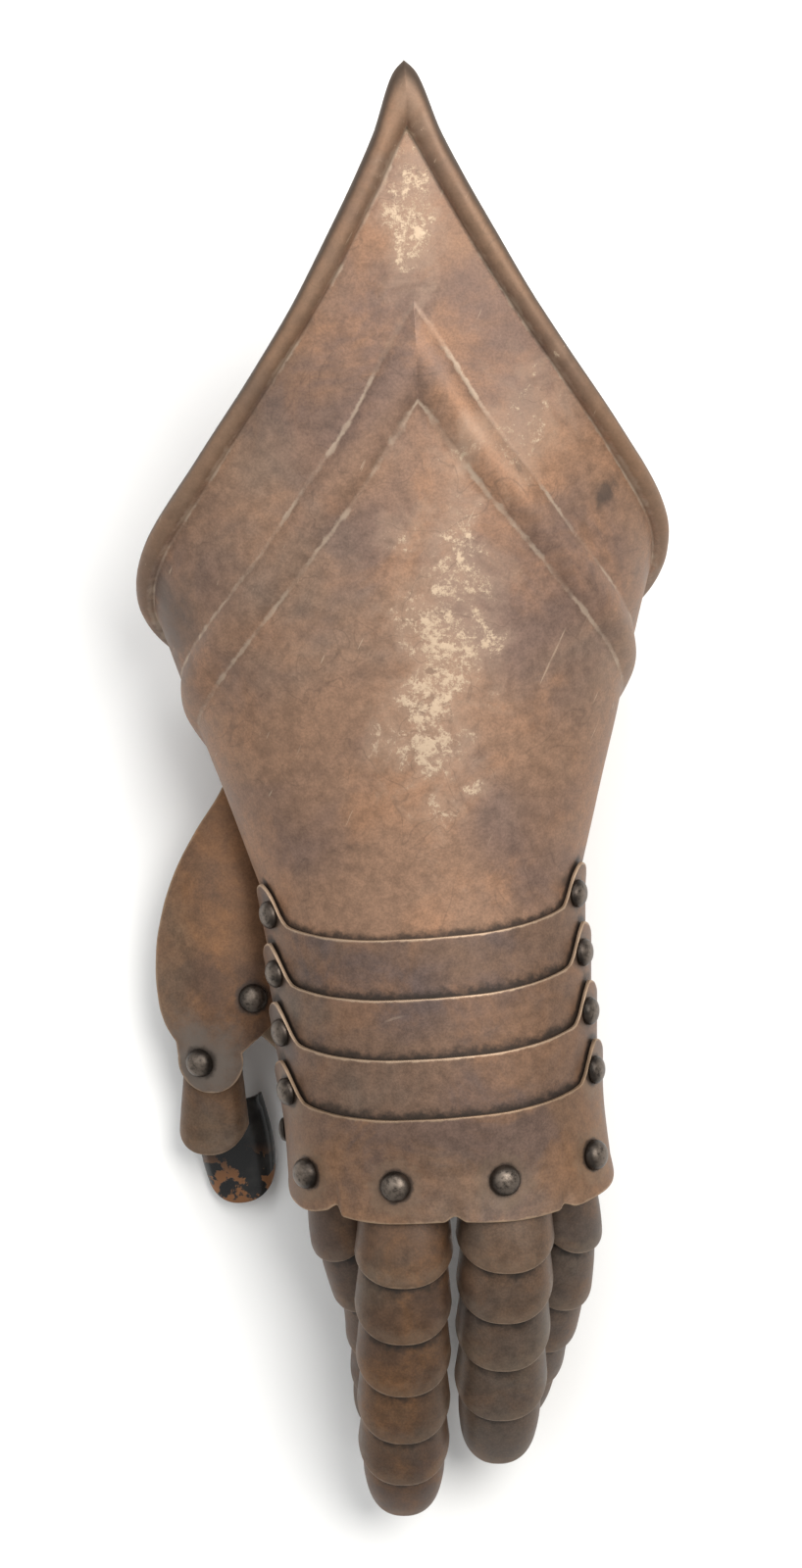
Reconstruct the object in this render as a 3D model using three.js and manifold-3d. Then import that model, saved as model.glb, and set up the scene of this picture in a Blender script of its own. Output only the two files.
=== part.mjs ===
// A left-hand armoured gauntlet, lying palm down: a flared cuff with a peak, three wrist lames,
// a knuckle plate, four rows of finger scales on straps, and a riveted thumb.
// Millimetres. +X is the little finger's side, +Y runs up the arm to the cuff's peak, +Z is up.

import * as THREE from 'three';
import { mergeVertices } from 'three/addons/utils/BufferGeometryUtils.js';
import Module from 'manifold-3d';

const wasm = await Module();
wasm.setup();

const DEGREE = Math.PI / 180;

// ---------- driving sizes ----------

const SHEET = 1.1; // thickness of the beaten plates
const LAME_GAP = 0.65; // air between two overlapping wrist plates
const LAME_PITCH = 17.2; // from one wrist pivot to the next
const LAME_TAPER = (SHEET + LAME_GAP) / LAME_PITCH; // each plate sinks under the next by this slope
const LAME_LIFT = 0.8; // how far a plate's upper edge stands above the hand's mean surface
const LAME_OVERLAP = 7; // hidden length of a plate under the next one

const AXIS_HEIGHT = 45.7; // height of the arm's axis over the ground
const HAND_HALF = 46.4; // half width of the hand's mean section
const HAND_TOP = 35; // height of the hand's mean section over the axis
const HAND_DRIFT = 0.03; // sideways drift of the hand per millimetre towards the fingers
const KNUCKLE_DROP = 3; // how far the back of the hand sinks towards the knuckles
const KNUCKLE_SPREAD = 3.4; // how much the half width grows towards the knuckles

const FLARE_START = -29.5; // where the cuff begins to open
const FLARE_ROUNDING = 2.5;
const FLARE_SIDE = 0.303; // growth of the half width per millimetre
const FLARE_TOP = 0.156;
const FLARE_UNDER = 0.18;
const UNDERSIDE_SQUARENESS = 2.4; // exponent of the flattened lower half
const UNDERSIDE_FLAT = 0.96; // share of the depth at which the underside is beaten flat

const PEAK_ANGLE = 5.2; // the cuff's peak stands this far round towards the little finger
const ROLL_HEIGHT = 4; // how far the rolled rim stands out
const RIB_HEIGHT = 2.3;

const PIVOTS = [0, 1, 2, 3].map((j) => -35.2 - LAME_PITCH * j); // the four wrist pivots
const PIVOT_ANGLE = 68; // degrees down from the ridge of the hand

// Rivets: radius of the head and height of its dome.
const WRIST_RIVET = { head: 4.1, dome: 2.3 };
const KNUCKLE_RIVET = { head: 4.5, dome: 3.3 };
const THUMB_RIVET = { head: 4.4, dome: 3.4 };
const FLAT_RIVET = { head: 3.6, dome: 1.6 };
const SHANK = 1.6; // radius
const SHANK_HOLE = 2.3; // radius
const HEAD_GAP = 0.72; // air under a rivet's head
const TAIL = { radius: 2.8, thick: 0.9, gap: 0.5 };
const RIVET_SIDES = 8;
const HOLE_SIDES = 6;
const DRILL_LENGTH = 30;

// ---------- tables ----------

// Where the cuff's lines cross the arm's length, by the turn in degrees away from the peak: its rim,
// the foot of the rolled edge, the two creases of the chevron rib, and its end under the first lame.
const CUFF_LINES = [
  { turn: 0, rim: 197.2, fold: 179.3, ribTop: 132.1, ribFoot: 105.8, wrist: -53 },
  { turn: 1.5, rim: 194.2, fold: 174.2, ribTop: 128.6, ribFoot: 102.9, wrist: -53 },
  { turn: 5, rim: 177.7, fold: 162.3, ribTop: 120.2, ribFoot: 95.6, wrist: -53 },
  { turn: 13, rim: 152.4, fold: 139.8, ribTop: 101, ribFoot: 80.6, wrist: -53 },
  { turn: 22, rim: 130.5, fold: 121, ribTop: 86.2, ribFoot: 67.8, wrist: -52 },
  { turn: 35, rim: 108.7, fold: 100.4, ribTop: 68.4, ribFoot: 52.6, wrist: -50 },
  { turn: 50, rim: 91, fold: 83, ribTop: 54.6, ribFoot: 39.8, wrist: -48 },
  { turn: 70, rim: 75.4, fold: 67.8, ribTop: 42.4, ribFoot: 28, wrist: -45 },
  { turn: 90, rim: 62.8, fold: 55.6, ribTop: 34.6, ribFoot: 20.8, wrist: -43 },
  { turn: 130, rim: 44, fold: 36.6, ribTop: 14, ribFoot: 1, wrist: -42 },
  { turn: 160, rim: 27, fold: 20, ribTop: -2, ribFoot: -14, wrist: -42 },
  { turn: 180, rim: 27, fold: 20, ribTop: -2, ribFoot: -14, wrist: -42 },
];

// A wrist lame's edges along the arm from its own pivot, by the angle down from the ridge. Its
// upper corners rise into ears that hold the rivets.
const LAME_EDGES = [
  { angle: 0, upper: -9, lower: -33.2 },
  { angle: 18, upper: -8.7, lower: -32.8 },
  { angle: 36, upper: -7.3, lower: -31.2 },
  { angle: 50, upper: -5.2, lower: -29 },
  { angle: 58, upper: -3.4, lower: -27.9 },
  { angle: 61, upper: -1.2, lower: -27.4 },
  { angle: 64, upper: 2.4, lower: -27 },
  { angle: 67.5, upper: 6.4, lower: -26.6 },
  { angle: 71.5, upper: 8.8, lower: -26.2 },
  { angle: 76, upper: 8.2, lower: -25.7 },
  { angle: 84, upper: 5.6, lower: -25 },
  { angle: 94, upper: 1.5, lower: -23.5 },
  { angle: 101, upper: -2.5, lower: -21 },
  { angle: 106, upper: -8, lower: -17 },
];

// The knuckle plate's lower edge, with a shallow lobe over each finger.
const KNUCKLE_EDGE = [
  { angle: -106, y: -104 },
  { angle: -95, y: -110.5 },
  { angle: -87, y: -115 },
  { angle: -74, y: -119.4 },
  { angle: -58, y: -121.8 },
  { angle: -49, y: -121.3 },
  { angle: -45, y: -119.9 },
  { angle: -41, y: -123.2 },
  { angle: -21, y: -125.6 },
  { angle: -4, y: -125.8 },
  { angle: 0, y: -124.4 },
  { angle: 4, y: -126.2 },
  { angle: 20, y: -127 },
  { angle: 38, y: -125.6 },
  { angle: 42, y: -124 },
  { angle: 46, y: -124.9 },
  { angle: 57, y: -123.6 },
  { angle: 74, y: -121 },
  { angle: 87, y: -117.4 },
  { angle: 95, y: -112.5 },
  { angle: 106, y: -105 },
];
const KNUCKLE_GROOVES = [-45, 0, 42]; // between the lobes
const GROOVE_DEPTH = 0.9;
const GROOVE_HALF_ANGLE = 4;
const GROOVE_LENGTH = 9;

// Each finger hangs from its knuckle rivet: how far its ridge lies aside from the rivet and under
// it, its half width and depth, and its scales. A scale's length is what the scale before it leaves
// bare. Slope is downwards, heading is sideways in plan (positive towards the little finger), and
// roll turns the finger's back (negative towards the thumb), in degrees.
const FINGERS = [
  {
    name: 'index', angle: -60, y: -110.7, aside: -1, under: 2.2, half: 11.5, depth: 11,
    scales: [
      { length: 30, slope: 17, heading: 7, roll: -42 },
      { length: 19.8, slope: 25, heading: 22, roll: -36 },
      { length: 20, slope: 31, heading: 10, roll: -28 },
      { length: 17.5, slope: 35, heading: 6, roll: -18 },
      { length: 15, slope: 37, heading: 14, roll: -10 },
      { length: 15.5, slope: 37, heading: 21, roll: -5 },
    ],
  },
  {
    name: 'middle', angle: -19.5, y: -114.6, aside: 1.7, under: 1.1, half: 14, depth: 12,
    scales: [
      { length: 30.3, slope: 3, heading: -3.7, roll: -2 },
      { length: 18, slope: 18, heading: -3.7, roll: 0 },
      { length: 18, slope: 24, heading: -3.7, roll: 0 },
      { length: 18, slope: 30, heading: -3.7, roll: 0 },
      { length: 18, slope: 36, heading: -3.7, roll: 0 },
      { length: 19.5, slope: 46, heading: -3.7, roll: 0 },
    ],
  },
  {
    name: 'ring', angle: 18.5, y: -114.9, aside: 1.4, under: 1.1, half: 14, depth: 12,
    scales: [
      { length: 28, slope: 4, heading: -5, roll: 2 },
      { length: 17.2, slope: 25, heading: -5, roll: 0 },
      { length: 17.8, slope: 30, heading: -5, roll: 0 },
      { length: 20, slope: 33, heading: -5, roll: 0 },
      { length: 23, slope: 42, heading: -5, roll: 0 },
    ],
  },
  {
    name: 'little', angle: 61.5, y: -111.3, aside: 1, under: 2.2, half: 11.2, depth: 11,
    scales: [
      { length: 31.5, slope: 16, heading: -3, roll: 45 },
      { length: 22, slope: 27, heading: -20, roll: 36 },
      { length: 19.4, slope: 36, heading: -27, roll: 26 },
      { length: 18.6, slope: 41, heading: -21, roll: 16 },
      { length: 18.5, slope: 45, heading: -14, roll: 8 },
    ],
  },
];
const FINGER_TAPER = 0.0007; // share of its width that a finger loses per millimetre
const SCALE_SHEET = 0.9;
const SCALE_GAP = 0.55;
const SCALE_TAPER = (SCALE_SHEET + SCALE_GAP) / 14;
const SCALE_REACH = 24; // past this length a scale sinks no further
const SCALE_LIFT = 0.6; // how far a scale's free edge stands above the finger's mean surface
const SCALE_OVERLAP = 5;
const SCALE_TONGUE = 8.5; // how much shorter a scale is at its sides
const TIP_TONGUE = 10;
const SCALE_SQUARENESS = 2.3;
const TIP_CLOSING = 0.14; // how much the last scale's section shrinks at its end

const STRAP_THICK = 2;
const STRAP_HALF = 4.6;
const STRAP_DEPTH = 5.2; // top of the strap under the finger's mean surface
const STRAP_SLACK = 1.6; // room left for the rivet's tail where the strap slopes

// The thumb leaf in plan: its outer and inner edges down the arm, above its round lobe.
const LEAF = [
  { y: 6, outer: -56.5, inner: -55.3 },
  { y: 0, outer: -60, inner: -54.6 },
  { y: -10, outer: -67.3, inner: -52.2 },
  { y: -22, outer: -74.5, inner: -48.7 },
  { y: -33, outer: -79, inner: -46.7 },
  { y: -45, outer: -81.9, inner: -45.6 },
  { y: -54, outer: -82.6, inner: -45 },
  { y: -62, outer: -82.1, inner: -45 },
  { y: -67.5, outer: -80.7, inner: -46.3 },
  { y: -71, outer: -79, inner: -49.2 },
  { y: -73.5, outer: -77.6, inner: -52.6 },
  { y: -77.4, outer: -77.4, inner: -57.4 },
];
const LOBE = { x: -67.4, y: -79.2, radius: 10.1 };
const LEAF_CREST = -57; // the leaf's ridge runs down the arm here
const LEAF_BULGE = 0.02;
const LEAF_RIDGE = [
  { y: -92, height: 25.5 },
  { y: -80, height: 29 },
  { y: -60, height: 33 },
  { y: -30, height: 31.5 },
  { y: 8, height: 22.5 },
];
const LEAF_RIVET = { x: -52.9, y: -60.9 };
const LOBE_RIVET = { x: -70.3, y: -79.6 };

// The thumb's two scales, each with its own ridge: where it starts, and its run as a finger's.
const THUMB_SCALE = {
  root: new THREE.Vector3(-69.5, -76, 25.2), half: 10.8, depth: 8,
  scales: [{ length: 33, slope: 11, heading: -3, roll: -20 }],
};
const THUMB_TIP = {
  root: new THREE.Vector3(-64.6, -94, 15.2), half: 12.4, depth: 8,
  scales: [{ length: 32.5, slope: 13, heading: 6, roll: -6 }],
};

// The hanger that ties the thumb leaf to the knuckle plate: its run and the side it faces.
const HANGER_RIVET = { angle: -97, y: -100 };
const HANGER_BEND = [
  { x: -40.2, y: -91, z: 37, facing: [-0.95, 0, 0.3] },
  { x: -39.5, y: -82, z: 31, facing: [-0.6, 0, 0.8] },
  { x: -44.5, y: -74, z: 23.6, facing: [0.1, -0.25, 1] },
];
const HANGER_HALF = 4.5;
const HANGER_THICK = 1.2;
const HANGER_GAP = 1.6;

// ---------- helpers ----------

// A smooth curve through a table's rows that does not overshoot between them.
function curveThrough(rows, at, value) {
  if (rows.length === 1) return () => rows[0][value];
  const x = rows.map((row) => row[at]);
  const y = rows.map((row) => row[value]);
  const rise = x.slice(1).map((xi, i) => (y[i + 1] - y[i]) / (xi - x[i]));
  const slope = x.map((_, i) => {
    if (i === 0) return rise[0];
    if (i === x.length - 1) return rise[i - 1];
    return rise[i - 1] * rise[i] > 0 ? (2 * rise[i - 1] * rise[i]) / (rise[i - 1] + rise[i]) : 0;
  });
  return (wanted) => {
    const q = Math.min(Math.max(wanted, x[0]), x[x.length - 1]);
    let i = x.findIndex((xi) => xi > q) - 1;
    if (i < 0) i = x.length - 2;
    const step = x[i + 1] - x[i];
    const t = (q - x[i]) / step;
    const blend = t * t * (3 - 2 * t);
    return y[i] * (1 - blend) + y[i + 1] * blend
      + step * (slope[i] * t * (1 - t) * (1 - t) - slope[i + 1] * t * t * (1 - t));
  };
}

// A closed plate from two grids of points, outer and inner, with the same number of columns.
// Where wrap is true the last column joins the first.
function plate(outer, inner, wrap = false) {
  const columns = outer[0].length;
  const points = [...outer.flat(), ...inner.flat()];
  const outerAt = (i, j) => i * columns + (j % columns);
  const innerAt = (i, j) => outer.length * columns + i * columns + (j % columns);
  const triangles = [];
  const quad = (a, b, c, d) => triangles.push(a, b, c, a, c, d);
  const last = wrap ? columns : columns - 1;
  for (let j = 0; j < last; j += 1) {
    for (let i = 0; i < outer.length - 1; i += 1) {
      quad(outerAt(i, j), outerAt(i + 1, j), outerAt(i + 1, j + 1), outerAt(i, j + 1));
    }
    for (let i = 0; i < inner.length - 1; i += 1) {
      quad(innerAt(i, j), innerAt(i, j + 1), innerAt(i + 1, j + 1), innerAt(i + 1, j));
    }
    const o = outer.length - 1;
    const n = inner.length - 1;
    quad(outerAt(0, j), outerAt(0, j + 1), innerAt(0, j + 1), innerAt(0, j));
    quad(outerAt(o, j), innerAt(n, j), innerAt(n, j + 1), outerAt(o, j + 1));
  }
  if (!wrap) {
    for (let i = 0; i < outer.length - 1; i += 1) {
      quad(outerAt(i, 0), innerAt(i, 0), innerAt(i + 1, 0), outerAt(i + 1, 0));
      quad(outerAt(i, last), outerAt(i + 1, last), innerAt(i + 1, last), innerAt(i, last));
    }
  }
  const geometry = new THREE.BufferGeometry().setFromPoints(points);
  geometry.setIndex(triangles);
  return signedVolume(geometry) < 0 ? turnedOver(geometry) : geometry;
}

function signedVolume(geometry) {
  const p = geometry.attributes.position;
  const [a, b, c] = [new THREE.Vector3(), new THREE.Vector3(), new THREE.Vector3()];
  let sum = 0;
  for (let i = 0; i < geometry.index.count; i += 3) {
    a.fromBufferAttribute(p, geometry.index.getX(i));
    b.fromBufferAttribute(p, geometry.index.getX(i + 1));
    c.fromBufferAttribute(p, geometry.index.getX(i + 2));
    sum += a.dot(b.cross(c));
  }
  return sum / 6;
}

function turnedOver(geometry) {
  const corners = Array.from(geometry.index.array);
  for (let i = 0; i < corners.length; i += 3) {
    [corners[i], corners[i + 1]] = [corners[i + 1], corners[i]];
  }
  geometry.setIndex(corners);
  return geometry;
}

function solidOf(geometry) {
  const bare = geometry.clone();
  bare.deleteAttribute('normal');
  bare.deleteAttribute('uv');
  const merged = mergeVertices(bare, 1e-4);
  return new wasm.Manifold(new wasm.Mesh({
    numProp: 3,
    vertProperties: new Float32Array(merged.attributes.position.array),
    triVerts: new Uint32Array(merged.index.array),
  }));
}

function geometryOf(solid) {
  const mesh = solid.getMesh();
  const geometry = new THREE.BufferGeometry();
  geometry.setAttribute('position', new THREE.BufferAttribute(mesh.vertProperties, 3));
  geometry.setIndex(new THREE.BufferAttribute(mesh.triVerts, 1));
  return geometry;
}

// The plate with a round hole at each spot, along that spot's normal.
function drilled(geometry, spots, radius) {
  let solid = solidOf(geometry);
  for (const spot of spots) {
    const bit = new THREE.CylinderGeometry(radius, radius, DRILL_LENGTH, HOLE_SIDES);
    bit.rotateX(Math.PI / 2);
    bit.applyQuaternion(turnTo(spot.normal));
    bit.translate(spot.point.x, spot.point.y, spot.point.z);
    solid = solid.subtract(solidOf(bit));
  }
  return geometryOf(solid);
}

function turnTo(normal) {
  return new THREE.Quaternion().setFromUnitVectors(new THREE.Vector3(0, 0, 1), normal);
}

// The point and outward normal of a surface given as a function of two numbers.
function spotOn(surface, u, v) {
  const step = 0.01;
  const point = surface(u, v);
  const alongU = surface(u + step, v).sub(surface(u - step, v));
  const alongV = surface(u, v + step).sub(surface(u, v - step));
  return { point, normal: alongU.cross(alongV).normalize() };
}

const group = new THREE.Group();
const finishes = {
  copper: new THREE.MeshStandardMaterial({ color: 0x8a5f45, roughness: 0.5, metalness: 0.9 }),
  rivet: new THREE.MeshStandardMaterial({ color: 0x4a3f38, roughness: 0.4, metalness: 1 }),
  black: new THREE.MeshStandardMaterial({ color: 0x17181a, roughness: 0.35, metalness: 0.6 }),
  leather: new THREE.MeshStandardMaterial({ color: 0x3b2617, roughness: 0.8, metalness: 0 }),
};

function add(name, geometry, finish) {
  const mesh = new THREE.Mesh(geometry, finishes[finish]);
  mesh.name = name;
  group.add(mesh);
  return mesh;
}

// ---------- the arm's and hand's section ----------

const clamp = THREE.MathUtils.clamp;

function handSize(y, offset) {
  const knuckle = THREE.MathUtils.smoothstep(-y, 90, 128);
  return {
    centre: HAND_DRIFT * Math.max(0, PIVOTS[0] - y),
    half: HAND_HALF + KNUCKLE_SPREAD * knuckle + FLARE_SIDE * flareAt(y) + offset,
    top: HAND_TOP - KNUCKLE_DROP * knuckle + FLARE_TOP * flareAt(y) + offset,
    under: HAND_TOP + FLARE_UNDER * flareAt(y) + offset,
  };
}

// A point on a section. The upper half is an ellipse, and the lower half is squarer.
function sectionPoint(y, angle, size) {
  const s = Math.sin(angle * DEGREE);
  const c = Math.cos(angle * DEGREE);
  if (c >= 0) {
    return new THREE.Vector3(size.centre + size.half * s, y, AXIS_HEIGHT + size.top * c);
  }
  const power = 2 / UNDERSIDE_SQUARENESS;
  const depth = Math.min(size.under * (-c) ** power, size.under * UNDERSIDE_FLAT);
  const side = size.half * Math.sign(s) * Math.abs(s) ** power;
  return new THREE.Vector3(size.centre + side, y, AXIS_HEIGHT - depth);
}

// Height of wrist plate j's outer surface over the mean section. Plate 0 is the cuff's own wrist.
function lameOffset(j, y) {
  const edge = PIVOTS[0] - LAME_PITCH * (j - 1) + LAME_EDGES[0].upper;
  return LAME_LIFT + LAME_TAPER * Math.max(y - edge, -LAME_PITCH - LAME_OVERLAP);
}

// How far past its start the cuff's flare has run, eased in over the rounding.
function flareAt(y) {
  const past = y - FLARE_START;
  const r = FLARE_ROUNDING;
  return past > r ? past : (clamp(past, -r, r) + r) ** 2 / (4 * r);
}

// ---------- rivets ----------

// A domed rivet standing on a spot, its shank through a stack of plates to a flat tail.
function addRivet(name, spot, shape, stack) {
  const tail = -stack - TAIL.gap;
  const profile = [
    [0, tail - TAIL.thick],
    [TAIL.radius, tail - TAIL.thick],
    [TAIL.radius, tail],
    [SHANK, tail],
    [SHANK, HEAD_GAP],
    [shape.head, HEAD_GAP],
    [shape.head * 0.75, HEAD_GAP + shape.dome * 0.7],
    [0, HEAD_GAP + shape.dome],
  ].map(([r, z]) => new THREE.Vector2(r, z));
  const geometry = new THREE.LatheGeometry(profile, RIVET_SIDES);
  geometry.rotateX(Math.PI / 2);
  const mesh = add(name, geometry, 'rivet');
  mesh.position.copy(spot.point);
  mesh.quaternion.copy(turnTo(spot.normal));
}

// ---------- cuff ----------

const cuffSize = (y) => handSize(y, lameOffset(0, Math.min(y, FLARE_START)));
const cuffSurface = (angle, y) => sectionPoint(y, angle, cuffSize(y));

// Rows of points down the cuff, from one of its lines to the next: the share of the way between the
// two lines and the lift off the sheet. The inside follows the rib but not the rolled rim.
const CUFF_ROWS = [
  { from: 'rim', to: 'fold', share: 0, lift: 0, inside: true },
  { from: 'rim', to: 'fold', share: 0.07, lift: 0.55 * ROLL_HEIGHT },
  { from: 'rim', to: 'fold', share: 0.3, lift: 0.97 * ROLL_HEIGHT },
  { from: 'rim', to: 'fold', share: 0.7, lift: 0.97 * ROLL_HEIGHT },
  { from: 'rim', to: 'fold', share: 0.93, lift: 0.55 * ROLL_HEIGHT },
  { from: 'rim', to: 'fold', share: 1, lift: 0 },
  { from: 'fold', to: 'ribTop', share: 0.35, lift: 0, inside: true },
  { from: 'fold', to: 'ribTop', share: 0.7, lift: 0 },
  { from: 'ribTop', to: 'ribFoot', share: 0, lift: 0, inside: true },
  { from: 'ribTop', to: 'ribFoot', share: 0.2, lift: 0.6 * RIB_HEIGHT },
  { from: 'ribTop', to: 'ribFoot', share: 0.4, lift: RIB_HEIGHT, inside: true },
  { from: 'ribTop', to: 'ribFoot', share: 0.6, lift: RIB_HEIGHT, inside: true },
  { from: 'ribTop', to: 'ribFoot', share: 0.8, lift: 0.6 * RIB_HEIGHT },
  { from: 'ribTop', to: 'ribFoot', share: 1, lift: 0, inside: true },
  { from: 'ribFoot', to: 'wrist', share: 0.3, lift: 0 },
  { from: 'ribFoot', to: 'wrist', share: 0.6, lift: 0, inside: true },
  { from: 'ribFoot', to: 'wrist', share: 0.78, lift: 0 },
  { from: 'ribFoot', to: 'wrist', share: 0.88, lift: 0, inside: true },
  { from: 'ribFoot', to: 'wrist', share: 1, lift: 0, inside: true },
];

// A point of the cuff's sheet, lifted along its normal. The roll is worn flat on the ground.
function cuffPoint(turn, y, lift) {
  const spot = spotOn(cuffSurface, turn + PEAK_ANGLE, y);
  const point = spot.point.addScaledVector(spot.normal, lift);
  point.z = Math.max(point.z, 0);
  return point;
}

function addCuff() {
  const names = ['rim', 'fold', 'ribTop', 'ribFoot', 'wrist'];
  const line = Object.fromEntries(names.map((name) => [name, curveThrough(CUFF_LINES, 'turn', name)]));
  const half = [1.5, 5, 9, 13, 17.5, 22, 28, 35, 42.5, 50, 60, 70, 80, 90, 110, 130, 146, 164];
  const turns = [...half.slice().reverse().map((t) => -t), 0, ...half, 180];
  const grid = (rows, drop) => rows.map(({ from, to, share, lift }) => turns.map((turn) => {
    const t = Math.abs(turn);
    const y = line[from](t) + (line[to](t) - line[from](t)) * share;
    return cuffPoint(turn, y, lift - drop);
  }));
  const sheet = plate(grid(CUFF_ROWS, 0), grid(CUFF_ROWS.filter((row) => row.inside), SHEET), true);
  add('cuff', drilled(sheet, wristSpots(1), SHANK_HOLE), 'copper');
}

// ---------- wrist lames ----------

const lameSurface = (j) => (angle, y) => sectionPoint(y, angle, handSize(y, lameOffset(j, y)));

// Where plate j is riveted, left then right, on its outer surface.
function wristSpots(j) {
  return [-1, 1].map((side) => spotOn(lameSurface(j), side * PIVOT_ANGLE, PIVOTS[j - 1]));
}

function addLame(j) {
  const upper = curveThrough(LAME_EDGES, 'angle', 'upper');
  const lower = curveThrough(LAME_EDGES, 'angle', 'lower');
  const half = [12, 24, 36, 47, 58, 61, 64, 67.5, 71.5, 76, 84, 94, 101, 106];
  const angles = [...half.slice().reverse().map((a) => -a), 0, ...half];
  const grid = (depth) => [0, 0.27, 1].map((s) => angles.map((angle) => {
    const a = Math.abs(angle);
    const y = PIVOTS[j - 1] + upper(a) * (1 - s) + lower(a) * s;
    return sectionPoint(y, angle, handSize(y, lameOffset(j, y) - depth));
  }));
  const sheet = plate(grid(0), grid(SHEET));
  const spots = [...wristSpots(j), ...wristSpots(j + 1)];
  add(`wrist_lame_${j}`, drilled(sheet, spots, SHANK_HOLE), 'copper');
}

// ---------- knuckle plate ----------

const KNUCKLE = 4; // the knuckle plate is the fourth plate from the cuff

function knuckleOffset(angle, y) {
  const edge = knuckleEdgeAt(angle);
  const reach = clamp((edge + GROOVE_LENGTH - y) / GROOVE_LENGTH, 0, 1);
  const near = Math.max(...KNUCKLE_GROOVES.map(
    (groove) => Math.max(0, 1 - Math.abs(angle - groove) / GROOVE_HALF_ANGLE),
  ));
  const taper = LAME_LIFT + LAME_TAPER * Math.max(y - PIVOTS[3] - LAME_EDGES[0].upper, -LAME_PITCH);
  return taper - GROOVE_DEPTH * near * reach;
}

const knuckleEdgeAt = curveThrough(KNUCKLE_EDGE, 'angle', 'y');
const knuckleSurface = (angle, y) => sectionPoint(y, angle, handSize(y, knuckleOffset(angle, y)));
const knuckleSpots = FINGERS.map(({ angle, y }) => spotOn(knuckleSurface, angle, y));

function addKnucklePlate() {
  const upper = curveThrough(LAME_EDGES, 'angle', 'upper');
  const angles = [
    -106, -101, -94, -84, -76, -71.5, -67.5, -64, -61, -58, -53, -49, -45, -41, -34, -26, -18, -11, -4,
    0, 4, 11, 18, 26, 32, 38, 42, 46, 52, 58, 61, 64, 67.5, 71.5, 76, 84, 94, 101, 106,
  ];
  const shares = [0, 0.4, 0.7, 0.88, 1];
  const grid = (depth) => shares.map((s) => angles.map((angle) => {
    const top = PIVOTS[3] + upper(Math.abs(angle));
    const y = top + (knuckleEdgeAt(angle) - top) * s;
    return sectionPoint(y, angle, handSize(y, knuckleOffset(angle, y) - depth));
  }));
  const sheet = plate(grid(0), grid(SHEET));
  const hanger = spotOn(knuckleSurface, HANGER_RIVET.angle, HANGER_RIVET.y);
  const spots = [...wristSpots(KNUCKLE), ...knuckleSpots, hanger];
  add('knuckle_plate', drilled(sheet, spots, SHANK_HOLE), 'copper');
}

// ---------- fingers ----------

// A finger's ridge as a list of frames a millimetre apart, bending smoothly from scale to scale.
function spineOf(root, scales) {
  const middles = [];
  let reached = 0;
  for (const scale of scales) {
    middles.push({ ...scale, at: reached + scale.length / 2 });
    reached += scale.length;
  }
  const slope = curveThrough(middles, 'at', 'slope');
  const heading = curveThrough(middles, 'at', 'heading');
  const roll = curveThrough(middles, 'at', 'roll');
  const frameAt = (s) => {
    const [down, aside, turn] = [slope(s) * DEGREE, heading(s) * DEGREE, roll(s) * DEGREE];
    const forward = new THREE.Vector3(
      Math.sin(aside) * Math.cos(down), -Math.cos(aside) * Math.cos(down), -Math.sin(down),
    );
    const level = new THREE.Vector3(Math.cos(aside), Math.sin(aside), 0);
    const upright = forward.clone().cross(level);
    return {
      forward,
      across: level.clone().multiplyScalar(Math.cos(turn)).addScaledVector(upright, -Math.sin(turn)),
      up: upright.clone().multiplyScalar(Math.cos(turn)).addScaledVector(level, Math.sin(turn)),
    };
  };
  const step = 0.5;
  const points = [root.clone()];
  for (let s = 0; s < reached + 2; s += step) {
    points.push(points[points.length - 1].clone().addScaledVector(frameAt(s + step / 2).forward, step));
  }
  const pointAt = (s) => {
    if (s <= 0) return root.clone().addScaledVector(frameAt(0).forward, s);
    const i = Math.min(Math.floor(s / step), points.length - 2);
    return points[i].clone().lerp(points[i + 1], s / step - i);
  };
  return { length: reached, at: (s) => ({ point: pointAt(s), ...frameAt(s) }) };
}

// A point on a finger's half tube: psi degrees round from the ridge, s along it, lifted by offset.
// Shrink draws the section in towards the middle of its base.
function fingerPoint(finger, s, psi, offset, shrink = 1) {
  const frame = finger.spine.at(s);
  const power = 2 / SCALE_SQUARENESS;
  const sine = Math.sin(psi * DEGREE);
  const side = Math.sign(sine) * Math.abs(sine) ** power;
  const rise = Math.max(0, Math.cos(psi * DEGREE)) ** power;
  const half = finger.half * (1 - FINGER_TAPER * s) + offset;
  return frame.point
    .addScaledVector(frame.across, half * side * shrink)
    .addScaledVector(frame.up, (finger.depth + offset) * rise * shrink - finger.depth);
}

// One scale: a bent tongue of sheet, its free end standing over the scale that follows.
function scaleGeometry(finger, start, length, { isTip, overlap, notch }) {
  const tongue = (psi, size) => size * (1 - Math.cos(psi * DEGREE));
  const around = [-90, -72, -50, -25, 0, 25, 50, 72, 90];
  const shares = isTip ? [0, 0.4, 0.7, 0.88, 1] : [0, 0.5, 1];
  const grid = (depth) => shares.map((share) => around.map((psi) => {
    const from = start - overlap - tongue(psi, notch);
    const to = start + length - tongue(psi, isTip ? TIP_TONGUE : SCALE_TONGUE);
    const s = from + (to - from) * share;
    const covered = Math.max(start + length - s - tongue(psi, SCALE_TONGUE), 0);
    const shrink = isTip ? 1 - TIP_CLOSING * Math.max(0, (share - 0.4) / 0.6) ** 2 : 1;
    const sunk = SCALE_TAPER * Math.min(covered, SCALE_REACH);
    return fingerPoint(finger, s, psi, SCALE_LIFT - sunk - depth, shrink);
  }));
  return plate(grid(0), grid(SCALE_SHEET));
}

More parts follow.
